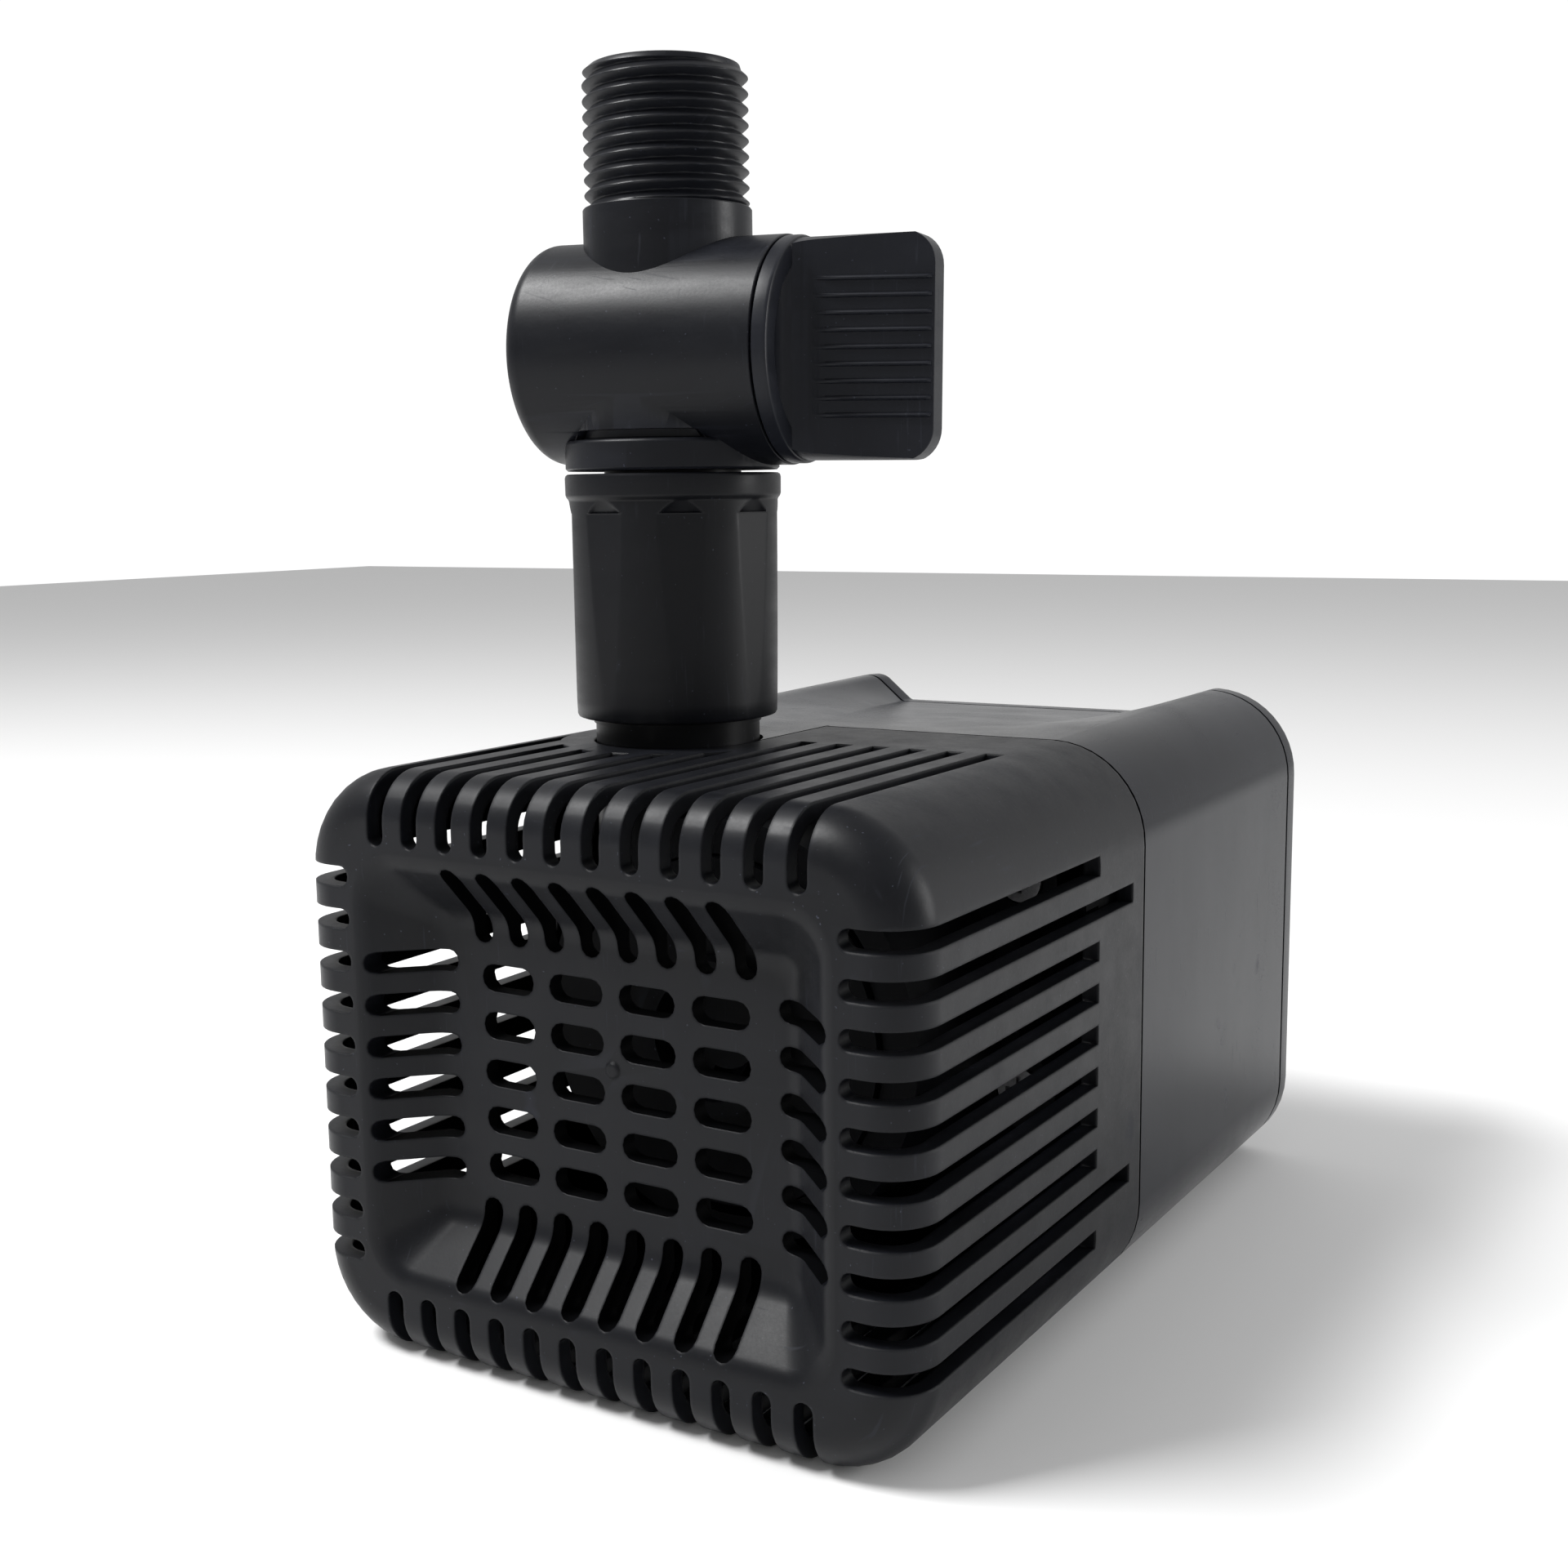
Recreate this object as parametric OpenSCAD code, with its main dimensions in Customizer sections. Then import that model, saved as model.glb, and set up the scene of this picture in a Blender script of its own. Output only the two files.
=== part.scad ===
// Submersible fountain pump: a slotted strainer cage over the pump head, a potted motor
// housing behind it, and an outlet riser with a union nut and a flow valve on top.
// Millimetres. +X across the front, +Y from the front face to the back, +Z up.
// The origin lies on the floor, under the middle of the body.

/* [Body] */
// Width across the cage and the motor housing
body_w = 85; // [70:0.5:100]
// Height of the cage from the floor to its flat top
body_h = 72.7; // [60:0.1:90]
// Overall length, front face to back face
body_len = 126.5; // [110:0.5:150]
// Distance from the front face to the joint between cage and housing
cage_len = 62.7; // [55:0.1:70]
// Distance from the front face to the joint between housing and back plate
housing_end = 122.3; // [110:0.1:124]
// Radius of the four long edges
edge_r = 12.75; // [6:0.25:16]
// Radius of the rounding around the front face
front_r = 5.9; // [2:0.1:8]
// Wall thickness of the cage
cage_wall = 2.2; // [1.6:0.1:3]
// Wall thickness of the housing
housing_wall = 2.8; // [2:0.1:4]

/* [Strainer slots] */
// Number of slots in each side wall
side_slots = 10; // [6:1:12]
// Spacing of the side slots
side_pitch = 5.22; // [4:0.01:7]
// Width of every wall slot
slot_w = 2.25; // [1.6:0.05:3]
// Rear end of the side slots, from the front face
side_slot_end = 48; // [40:0.5:52]
// Rear end of the four latch slots, from the front face
latch_slot_end = 58.8; // [52:0.1:60]
// Number of slots in the top and in the bottom
top_slots = 12; // [8:1:14]
// Spacing of the top slots
top_pitch = 5.28; // [4:0.01:7]
// Rear end of the top slots, from the front face
top_slot_end = 47; // [40:0.5:52]
// How far every wall slot runs over the front edge
slot_wrap = 7.5; // [4:0.1:9]

/* [Front grille] */
// Depth of the dished front panel
dish_depth = 6.6; // [3:0.1:9]
// Width of the dish at the front face
dish_w = 64; // [50:0.5:70]
// Height of the dish at the front face
dish_h = 51.4; // [40:0.2:56]
// Width of the sloped wall around the panel
dish_slope = 9.2; // [5:0.1:12]
// Columns of short slots in the panel
panel_cols = 4; // [2:1:6]
// Rows of short slots in the panel
panel_rows = 5; // [3:1:7]
// Column spacing of the panel slots
panel_pitch_x = 10.03; // [8:0.01:12]
// Row spacing of the panel slots
panel_pitch_z = 5.84; // [5:0.01:8]
// Length of a panel slot
panel_slot_len = 7.7; // [5:0.1:9]
// Height of a panel slot
panel_slot_h = 3.3; // [2:0.1:4]

/* [Housing top] */
// Height of the two rear humps above the floor
hump_h = 73.6; // [70:0.1:80]
// Height of the valley floor at the back
valley_h = 69.4; // [64:0.1:72]
// Half width of the valley floor at the back
valley_half = 23.9; // [15:0.1:30]
// Half width between the hump ridges
ridge_half = 29; // [22:0.1:34]
// Half width of the valley floor at the cage joint
valley_front = 8.3; // [4:0.1:20]

/* [Outlet riser] */
// Riser axis, left of the middle
riser_x = -15; // [-25:0.1:0]
// Riser axis, from the front face
riser_y = 42.8; // [35:0.1:50]
// Radius of the outlet neck
neck_r = 10.75; // [8:0.05:12]
// Radius of the water passage through the neck
neck_bore = 7; // [5:0.1:7.5]
// Radius of the outlet bore above the valve
bore_r = 7.4; // [5:0.1:8]
// Underside of the union nut
nut_z0 = 76; // [74:0.1:80]
// Top of the union nut
nut_z1 = 107.2; // [100:0.1:112]
// Height of the valve barrel axis
barrel_z = 122.35; // [118:0.1:128]
// Radius of the valve barrel
barrel_r = 14.08; // [12:0.01:16]
// Turn of the valve barrel about the riser
barrel_turn = 8.7; // [-180:0.1:180]
// How far the barrel droops towards the knob, in degrees
barrel_droop = 0.8; // [0:0.1:2]
// Rounding of the closed barrel end
end_round = 5; // [0.5:0.1:6]
// Radius over the outlet thread crests, nominal half inch pipe
thread_r = 10.478; // [9:0.001:11]
// Distance between thread crests
thread_pitch = 1.9; // [1.5:0.01:2.5]
// Number of thread crests
thread_crests = 9; // [6:1:12]
// Top end of the riser
riser_top = 157.6; // [150:0.1:165]

/* [Pump and motor] */
// Height of the rotor axis
axis_z = 38; // [34:0.5:44]
// Radius of the impeller
impeller_r = 19; // [15:0.5:21]
// Number of impeller vanes
vanes = 6; // [4:1:8]
// Radius of the rotor magnet
magnet_r = 11; // [9:0.5:12]
// Radius of the fixed shaft
shaft_r = 2; // [1.5:0.1:3]
// Running clearance on the shaft
run_gap = 0.05; // [0.02:0.01:0.1]

/* [Hidden] */
$fn = 96;
eps = 0.01;
front = -body_len / 2;
mid_z = body_h / 2;
half_w = body_w / 2;
side_top_z = mid_z + (side_slots - 1) / 2 * side_pitch;
side_ray = half_w - slot_wrap;
riser_clear_r = 15.5;
notch_half = neck_r + 0.35;
chamber_r = 24;
head_r = 27.2;
cover_y = 30;
chamber_y0 = 34;
chamber_y1 = 50.6;
flange_y = 53.5;
can_y = 57;
bulkhead_y = 60;
bulkhead_t = 3.2;
can_r = 13.2;
can_wall = 1.2;
can_end = 105;
core_y0 = 70.5;
core_y1 = 98.5;
magnet_y0 = 68.5;
magnet_y1 = 98.5;
leg_in = 14;
leg_out = 28;
coil_z0 = 13.2;
coil_z1 = 23.8;
coil_build = 5.4;
gland_z = 54;
gland_bore = 3.6;
screw_x = 29.5;
screw_low = 9.5;
screw_high = 18;
lug_angle = 60;
bayonet_turn = 25;
seat_z = 99.3;
nut_low_r = 13.15;
nut_high_r = 13.5;
nut_rim_r = 13.95;
nut_mouth = 9.2;
nut_flats = 8;
nut_flat = 13.3;
nut_turn = -6.4;
knob_gap = 0.3;
barrel_end = 17.05;
barrel_back = -17.1;
saddle_top = 140.2;
outlet_z = 136.5;
plug_passage = bore_r - 0.2;
disc_r = 13.9;
disc_t = 2;
disc_dish_r = 10.9;
disc_dish = 0.7;
paddle_end = 36.15;
paddle_half = 13.7;
paddle_corner = 4;
paddle_tip = 1.7;
paddle_root = 4.6;
ridge_count = 9;
ridge_pitch = 2.04;
ridge_h = 0.3;
seal_spots = [-11.2, 12.6];
plug_r = 10.95;
plug_bore = 11;
slope_shift = cage_wall * 1.55;

black_plastic = [0.09, 0.09, 0.1];
dark_plastic = [0.15, 0.15, 0.16];
rubber_grey = [0.05, 0.05, 0.05];
resin = [0.2, 0.2, 0.22];
steel = [0.62, 0.63, 0.65];
copper = [0.72, 0.42, 0.2];
ceramic_white = [0.9, 0.9, 0.86];
magnet_grey = [0.28, 0.28, 0.3];
nylon = [0.85, 0.84, 0.78];

// ---- shared shapes ----

// A flat shape drawn in X and Z, run along Y from y0 to y1.
module run_y(y0, y1) {
  translate([0, y1, 0])
    rotate([90, 0, 0])
      linear_extrude(y1 - y0)
        children();
}

// A flat shape drawn in Y and Z, run along X from x0 to x1.
module run_x(x0, x1) {
  translate([x0, 0, 0])
    rotate([90, 0, 90])
      linear_extrude(x1 - x0)
        children();
}

// A cylinder along Y.
module rod_y(r, y0, y1) {
  translate([0, y1, 0])
    rotate([90, 0, 0])
      cylinder(r = r, h = y1 - y0);
}

// A rounded slot with its long way along X, centred on the origin.
module slot_shape(len, w) {
  square([len - w, w], center = true);
  for (s = [-1, 1])
    translate([s * (len - w) / 2, 0])
      circle(d = w);
}

// Rounded rectangle standing on z0.
module section(w, z0, z1, r) {
  translate([-w / 2 + r, z0])
    square([w - 2 * r, z1 - z0]);
  translate([-w / 2, z0 + r])
    square([w, z1 - z0 - 2 * r]);
  for (x = [-w / 2 + r, w / 2 - r])
    for (z = [z0 + r, z1 - r])
      translate([x, z])
        circle(r = r);
}

// Half profile of a depth section with both front corners rounded.
module front_profile(len, z0, z1, f) {
  translate([f, z0])
    square([len - f, z1 - z0]);
  translate([0, z0 + f])
    square([len, z1 - z0 - 2 * f]);
  for (z = [z0 + f, z1 - f])
    translate([f, z])
      circle(r = f);
}

// Block with rounded long edges and a rounded front rim, from y0 back by len.
module soft_block(w, z0, z1, r, f, y0, len) {
  translate([0, y0, 0]) {
    run_x(-w / 2 + r, w / 2 - r)
      front_profile(len, z0, z1, f);
    translate([0, 0, z0 + r])
      linear_extrude(z1 - z0 - 2 * r)
        rotate(90)
          mirror([0, 1])
            front_profile(len, -w / 2, w / 2, f);
    for (x = [-w / 2 + r, w / 2 - r])
      for (z = [z0 + r, z1 - r])
        translate([x, 0, z])
          rotate([-90, 0, 0])
            rotate_extrude() {
              square([r - f, len]);
              translate([0, f])
                square([r, len - f]);
              translate([r - f, f])
                intersection() {
                  circle(r = f);
                  translate([0, -f])
                    square([f, 2 * f]);
                }
            }
  }
}

// Pyramid-shaped dish: two crossed wedges, grown by g and pushed back by d.
module dish(g, d) {
  far = dish_depth + d;
  shrink = dish_slope / dish_depth * far;
  near_x = dish_w / 2 + g;
  near_z = dish_h / 2 + g;
  over = dish_slope / dish_depth;
  intersection() {
    translate([0, 0, mid_z - body_h])
      linear_extrude(2 * body_h)
        polygon([[-near_x - over, -1], [near_x + over, -1],
          [near_x - shrink, far], [shrink - near_x, far]]);
    run_x(-body_w, body_w)
      polygon([[-1, mid_z - near_z - over], [-1, mid_z + near_z + over],
        [far, mid_z + near_z - shrink], [far, mid_z - near_z + shrink]]);
  }
}

// ---- strainer cage ----

module side_slot_cutters() {
  for (side = [0, 1])
    mirror([side, 0, 0])
      for (i = [0 : side_slots - 1]) {
        z = side_top_z - i * side_pitch;
        rear = (i == 1 || i == side_slots - 2) ? latch_slot_end : side_slot_end;
        translate([side_ray, -1, z - slot_w / 2])
          cube([slot_wrap + 1, 9, slot_w]);
        translate([side_ray, 0, z])
          rod_y(slot_w / 2, -1, 8);
        translate([half_w - cage_wall - 0.6, -1, z - slot_w / 2])
          cube([cage_wall + 2, rear + 1, slot_w]);
      }
}

module flat_slot_cutters() {
  for (level = [0, 1])
    translate([0, 0, mid_z])
      mirror([0, 0, level])
        difference() {
          for (i = [0 : top_slots - 1]) {
            x = (i - (top_slots - 1) / 2) * top_pitch;
            translate([x - slot_w / 2, -1, mid_z - slot_wrap])
              cube([slot_w, 9, slot_wrap + 1]);
            translate([x, 0, mid_z - slot_wrap])
              rod_y(slot_w / 2, -1, 8);
            translate([x - slot_w / 2, -1, mid_z - cage_wall - 0.6])
              cube([slot_w, top_slot_end + 1, cage_wall + 2]);
          }
          if (level == 0)
            translate([riser_x, riser_y, 0])
              cylinder(r = riser_clear_r, h = body_h);
        }
}

module grille_cutters() {
  slope_x = dish_w / 2 - dish_slope;
  slope_z = dish_h / 2 - dish_slope;
  run_y(-1, dish_depth + cage_wall + 1.5) {
    for (c = [0 : panel_cols - 1])
      for (r = [0 : panel_rows - 1])
        translate([(c - (panel_cols - 1) / 2) * panel_pitch_x,
            mid_z + (r - (panel_rows - 1) / 2) * panel_pitch_z])
          slot_shape(panel_slot_len, panel_slot_h);
    for (side = [-1, 1])
      for (i = [2 : side_slots - 3])
        translate([side * (slope_x + dish_slope / 2), side_top_z - i * side_pitch])
          slot_shape(dish_slope, slot_w);
    for (side = [-1, 1])
      for (i = [2 : top_slots - 3])
        translate([(i - (top_slots - 1) / 2) * top_pitch,
            mid_z + side * (slope_z + dish_slope / 2 - 0.1)])
          rotate(90)
            slot_shape(dish_slope + 0.6, slot_w + 0.2);
  }
}

module riser_notch() {
  translate([riser_x, riser_y, body_h - 12])
    cylinder(r = notch_half, h = 13);
  translate([riser_x - notch_half, riser_y, body_h - 12])
    cube([2 * notch_half, cage_len, 13]);
}

module front_cage() {
  color(black_plastic)
    translate([0, front, 0])
      difference() {
        soft_block(body_w, 0, body_h, edge_r, front_r, 0, cage_len - 0.15);
        difference() {
          soft_block(body_w - 2 * cage_wall, cage_wall, body_h - cage_wall,
            edge_r - cage_wall, front_r - cage_wall, cage_wall, cage_len);
          dish(slope_shift, cage_wall);
        }
        dish(0, 0);
        side_slot_cutters();
        flat_slot_cutters();
        grille_cutters();
        riser_notch();
      }
}

// ---- motor housing ----

// Housing block: its top rises slightly from the cage joint to the back.
module housing_shape() {
  rise = atan((hump_h - body_h) / (housing_end - cage_len));
  intersection() {
    run_y(cage_len, housing_end)
      section(body_w, 0, body_h + 20, edge_r);
    translate([0, cage_len, body_h])
      rotate([rise, 0, 0])
        run_y(-5, housing_end - cage_len + 5)
          section(body_w + 0.02, -body_h - 10, 0, edge_r + 0.01);
  }
}

// Everything above a plane through point p with upward normal n.
module above(p, n) {
  size = 200;
  len = sqrt(n[0] * n[0] + n[1] * n[1] + n[2] * n[2]);
  translate(p)
    rotate([0, acos(n[2] / len), atan2(n[1], n[0])])
      translate([-size / 2, -size / 2, 0])
        cube([size, size, size / 4]);
}

// Valley that sinks the middle of the housing top towards the back, between two humps.
module valley() {
  run = housing_end - cage_len;
  drop = body_h - valley_h;
  climb = hump_h - valley_h;
  side = ridge_half - valley_half;
  taper = valley_half - valley_front;
  n = [climb * run, -climb * taper - side * drop, -side * run];
  intersection() {
    above([0, cage_len, body_h - 0.03], [0, drop, run]);
    above([valley_half, housing_end, valley_h], [-n[0], -n[1], -n[2]]);
    above([-valley_half, housing_end, valley_h], [n[0], -n[1], -n[2]]);
  }
}

module screw_spots() {
  for (x = [-screw_x, screw_x])
    for (z = [axis_z - screw_low, axis_z + screw_high])
      translate([x, 0, z])
        children();
}

module cavity_section(g) {
  in = housing_wall + g;
  section(body_w - 2 * in, in, valley_h - 2.4 - g, edge_r - in);
}

module latch_arms() {
  for (side = [0, 1])
    mirror([side, 0, 0])
      for (i = [1, side_slots - 2])
        translate([half_w - cage_wall - 2.4, 50, side_top_z - i * side_pitch - 1])
          cube([2, 12, 2]);
}

module rear_housing() {
  rim = cage_wall + 0.45;
  color(black_plastic)
    translate([0, front, 0]) {
      difference() {
        union() {
          housing_shape();
          run_y(54, cage_len + 1)
            section(body_w - 2 * rim, rim, body_h - rim, edge_r - rim);
          latch_arms();
          translate([riser_x - neck_r, 54, body_h - 4])
            cube([2 * neck_r, cage_len + 1 - 54, 4]);
          difference() {
            translate([riser_x - neck_r, riser_y, body_h - 2.2])
              cube([2 * neck_r, 54 + eps - riser_y, 2.2]);
            translate([riser_x, riser_y, body_h - 5])
              cylinder(r = notch_half + 0.1, h = 10);
          }
        }
        run_y(53, bulkhead_y)
          section(body_w - 2 * rim - 4, rim + 2, body_h - rim - 2, edge_r - rim - 2);
        run_y(bulkhead_y + bulkhead_t, housing_end + 1)
          cavity_section(0);
        valley();
        translate([0, 0, axis_z])
          rod_y(can_r + 0.05, bulkhead_y - 1, bulkhead_y + bulkhead_t + 1);
        screw_spots()
          rod_y(1.3, bulkhead_y - 1, bulkhead_y + bulkhead_t + 1);
      }
      difference() {
        screw_spots()
          rod_y(3, bulkhead_y + bulkhead_t - eps, 69);
        screw_spots()
          rod_y(1.3, bulkhead_y, 68);
      }
    }
}

module back_plate() {
  color(black_plastic)
    translate([0, front, 0])
      difference() {
        union() {
          run_y(housing_end + 0.15, body_len)
            section(body_w, 0, hump_h, edge_r);
          run_y(housing_end - 3, housing_end + 1)
            cavity_section(0.1);
        }
        run_y(housing_end - 4, housing_end)
          cavity_section(2.1);
        run_y(housing_end - 5, body_len + 1)
          polygon([[-ridge_half, hump_h], [-valley_half, valley_h], [valley_half, valley_h],
            [ridge_half, hump_h], [ridge_half, hump_h + 5], [-ridge_half, hump_h + 5]]);
        translate([0, 0, gland_z])
          rod_y(5.5, housing_end - 5, body_len + 1);
      }
}

module cable_gland() {
  color(rubber_grey)
    translate([0, front, gland_z])
      difference() {
        union() {
          rod_y(5.4, housing_end - 2.5, body_len - 0.3);
          rod_y(7.5, housing_end - 4.5, housing_end - 0.05);
        }
        rod_y(gland_bore, housing_end - 6, body_len + 1);
      }
}

module potting_block() {
  color(resin)
    translate([0, front, 0])
      difference() {
        run_y(bulkhead_y + bulkhead_t + 0.1, 117)
          cavity_section(0.1);
        translate([0, 0, axis_z])
          rod_y(can_r + 0.05, 60, can_end + 0.05);
        translate([0, 0, axis_z])
          rod_y(leg_in + 0.1, core_y0 - 0.1, core_y1 + 0.1);
        screw_spots()
          rod_y(3.1, 60, 69.2);
        run_y(core_y0 - 0.1, core_y1 + 0.1)
          translate([-leg_out - 0.1, 4.5])
            square([2 * leg_out + 0.2, 48]);
        for (s = [-1, 1])
          translate([s * (leg_in + leg_out) / 2, (core_y0 + core_y1) / 2,
              (coil_z0 + coil_z1) / 2])
            cube([leg_out - leg_in + 2 * coil_build + 2.6,
              core_y1 - core_y0 + 2 * coil_build + 2.6, coil_z1 - coil_z0 + 0.1],
              center = true);
      }
}

// ---- motor ----

module stator_core() {
  color(steel)
    translate([0, front, 0])
      run_y(core_y0, core_y1)
        difference() {
          union() {
            translate([-leg_out, 4.6])
              square([2 * leg_out, coil_z0 - 4.7]);
            for (s = [-1, 1])
              translate([s * (leg_in + leg_out) / 2 - (leg_out - leg_in) / 2, 4.6])
                square([leg_out - leg_in, 47.4]);
            for (s = [-1, 1])
              translate([s * (leg_in + 2.4) / 2 - (leg_in - 2.4) / 2 - eps, coil_z1 + 0.2])
                square([leg_in - 2.4 + 2 * eps, 52 - coil_z1 - 0.2]);
          }
          translate([0, axis_z])
            circle(r = can_r + 0.2);
          for (x = [-leg_out + 4, leg_out - 4])
            translate([x, 8.5])
              circle(r = 1.6);
        }
}

module bobbin(s) {
  wide = leg_out - leg_in;
  deep = core_y1 - core_y0;
  mid_y = (core_y0 + core_y1) / 2;
  grow = 2 * coil_build + 2.4;
  color(nylon)
    translate([s * (leg_in + leg_out) / 2, front + mid_y, 0])
      difference() {
        union() {
          translate([0, 0, (coil_z0 + coil_z1) / 2])
            cube([wide + 2.4, deep + 2.4, coil_z1 - coil_z0], center = true);
          for (z = [coil_z0 + 0.6, coil_z1 - 0.6])
            translate([0, 0, z])
              cube([wide + grow, deep + grow, 1.2], center = true);
        }
        cube([wide + 0.1, deep + 0.1, 80], center = true);
      }
}

module coil(s) {
  wide = leg_out - leg_in;
  deep = core_y1 - core_y0;
  mid_y = (core_y0 + core_y1) / 2;
  outer = 2 * coil_build + 1.2;
  r = 3;
  color(copper)
    translate([s * (leg_in + leg_out) / 2, front + mid_y, coil_z0 + 1.25])
      linear_extrude(coil_z1 - coil_z0 - 2.5)
        difference() {
          union() {
            square([wide + outer, deep + outer - 2 * r], center = true);
            square([wide + outer - 2 * r, deep + outer], center = true);
            for (x = [-1, 1])
              for (y = [-1, 1])
                translate([x * ((wide + outer) / 2 - r), y * ((deep + outer) / 2 - r)])
                  circle(r = r);
          }
          square([wide + 2.5, deep + 2.5], center = true);
        }
}

module left_bobbin() {
  bobbin(-1);
}

module right_bobbin() {
  bobbin(1);
}

module left_coil() {
  coil(-1);
}

module right_coil() {
  coil(1);
}

module rotor_can() {
  color(dark_plastic)
    translate([0, front, axis_z])
      difference() {
        union() {
          rod_y(can_r, can_y, can_end);
          rod_y(19, can_y + 0.1, bulkhead_y - 0.05);
        }
        rod_y(can_r - can_wall, can_y - 1, can_end - 4.5);
        rod_y(4.05, can_end - 5, can_end - 1.2);
      }
}

module rotor_magnet() {
  color(magnet_grey)
    translate([0, front, axis_z])
      difference() {
        union() {
          rod_y(magnet_r, magnet_y0, magnet_y1);
          rod_y(magnet_r - 1.5, magnet_y0 - 0.8, magnet_y1 + 0.8);
        }
        rod_y(shaft_r + run_gap, magnet_y0 - 2, magnet_y1 + 2);
      }
}

module rotor_shaft() {
  color(ceramic_white)
    translate([0, front, axis_z])
      rod_y(shaft_r, cover_y + 1.2, can_end - 1.8);
}

module rear_bush() {
  color(rubber_grey)
    translate([0, front, axis_z])
      difference() {
        rod_y(4, can_end - 4.4, can_end - 1.25);
        rod_y(shaft_r, can_end - 5, can_end - 1.75);
      }
}

module front_bush() {
  color(rubber_grey)
    translate([0, front, axis_z])
      difference() {
        rod_y(3.6, cover_y + 0.6, cover_y + 4);
        rod_y(shaft_r + run_gap, cover_y + 1, cover_y + 5);
      }
}

// ---- pump head ----

// One curved vane: a stretch of a ring that starts inside the hub.
module vane() {
  bend = 13;
  thick = 1.4;
  intersection() {
    difference() {
      circle(r = impeller_r - 0.4);
      circle(r = 5);
    }
    translate([bend, 0])
      difference() {
        circle(r = bend + thick / 2);
        circle(r = bend - thick / 2);
      }
    translate([-2, 1])
      square([2 * impeller_r, impeller_r]);
  }
}

module impeller() {
  color(dark_plastic)
    translate([0, front, axis_z])
      difference() {
        union() {
          rod_y(impeller_r, chamber_y1 - 3, chamber_y1 - 1);
          rod_y(5.4, chamber_y0 + 3, chamber_y1 - 1);
          rod_y(8, chamber_y1 - 2, magnet_y0 - 0.85);
          for (i = [0 : vanes - 1])
            rotate([0, i * 360 / vanes, 0])
              run_y(chamber_y0 + 2, chamber_y1 - 2)
                vane();
        }
        rod_y(shaft_r + run_gap, chamber_y0, magnet_y0 + 1);
      }
}

module pump_head() {
  color(black_plastic)
    translate([0, front, 0])
      difference() {
        union() {
          translate([0, 0, axis_z])
            rod_y(head_r, cover_y, bulkhead_y - 0.05);
          translate([riser_x, riser_y, axis_z])
            cylinder(r = neck_r, h = seat_z - axis_z);
          translate([riser_x, riser_y, 75.2])
            cylinder(r = neck_r + 0.25, h = 0.5);
          screw_spots()
            rod_y(5, flange_y, bulkhead_y - 0.05);
          run_y(flange_y, bulkhead_y - 0.05)
            translate([-screw_x, axis_z - screw_low])
              square([2 * screw_x, screw_low + screw_high]);
        }
        translate([0, 0, axis_z]) {
          rod_y(chamber_r, cover_y + 1.6, chamber_y1);
          rod_y(chamber_r - 1.4, cover_y - 1, cover_y + 2);
          for (a = [0, 120, 240])
            rotate([0, a + lug_angle + bayonet_turn, 0])
              intersection() {
                rod_y(chamber_r - 0.1, cover_y - 1, cover_y + 2);
                translate([0, 0, -4.6])
                  cube([chamber_r + 1, 100, 9.2]);
              }
          rod_y(can_r - 0.5, chamber_y1 - 1, bulkhead_y);
          rod_y(19.1, can_y, bulkhead_y);
        }
        translate([riser_x, riser_y, axis_z])
          cylinder(r = neck_bore, h = seat_z - axis_z + 1);
        screw_spots()
          rod_y(1.7, flange_y - 1, bulkhead_y);
        screw_spots()
          rod_y(3.2, flange_y - 1, flange_y + 2);
      }
}

module impeller_cover() {
  color(black_plastic)
    translate([0, front, axis_z]) {
      difference() {
        union() {
          rod_y(chamber_r - 1.75, cover_y - 1, cover_y + 3.4);
          rod_y(10, cover_y - 4, cover_y);
          for (a = [0, 120, 240])
            rotate([0, a + lug_angle, 0])
              intersection() {
                difference() {
                  rod_y(chamber_r - 0.35, cover_y + 1.9, cover_y + 3.4);
                  rod_y(chamber_r - 3, cover_y + 1, cover_y + 4);
                }
                translate([0, 0, -4.1])
                  cube([chamber_r + 1, 100, 8.2]);
              }
        }
        rod_y(8, cover_y - 5, cover_y + 5);
        difference() {
          rod_y(chamber_r - 1, cover_y + 0.4, cover_y + 1.8);
          rod_y(chamber_r - 3.2, cover_y, cover_y + 2);
        }
      }
      difference() {
        union() {
          rod_y(4.8, cover_y, cover_y + 3.4);
          for (a = [0, 120, 240])
            rotate([0, a, 0])
              translate([4, cover_y + 0.2, -0.9])
                cube([5, 2.8, 1.8]);
        }
        rod_y(3.65, cover_y + 0.55, cover_y + 5);
      }
    }
}

module cover_seal() {
  color(rubber_grey)
    translate([0, front, axis_z])
      translate([0, cover_y + 1.1, 0])
        rotate([90, 0, 0])
          rotate_extrude()
            translate([chamber_r - 2.45, 0])
              circle(r = 0.65);
}

module head_screws() {
  color(steel)
    translate([0, front, 0])
      screw_spots()
        difference() {
          union() {
            rod_y(1.25, flange_y + 1, bulkhead_y + 6.5);
            rod_y(2.9, flange_y - 0.2, flange_y + 1.95);
          }
          for (a = [0, 90])
            rotate([0, a, 0])
              translate([-1.8, flange_y - 1, -0.3])
                cube([3.6, 1.9, 0.6]);
        }
}

// ---- riser and valve ----

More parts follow.
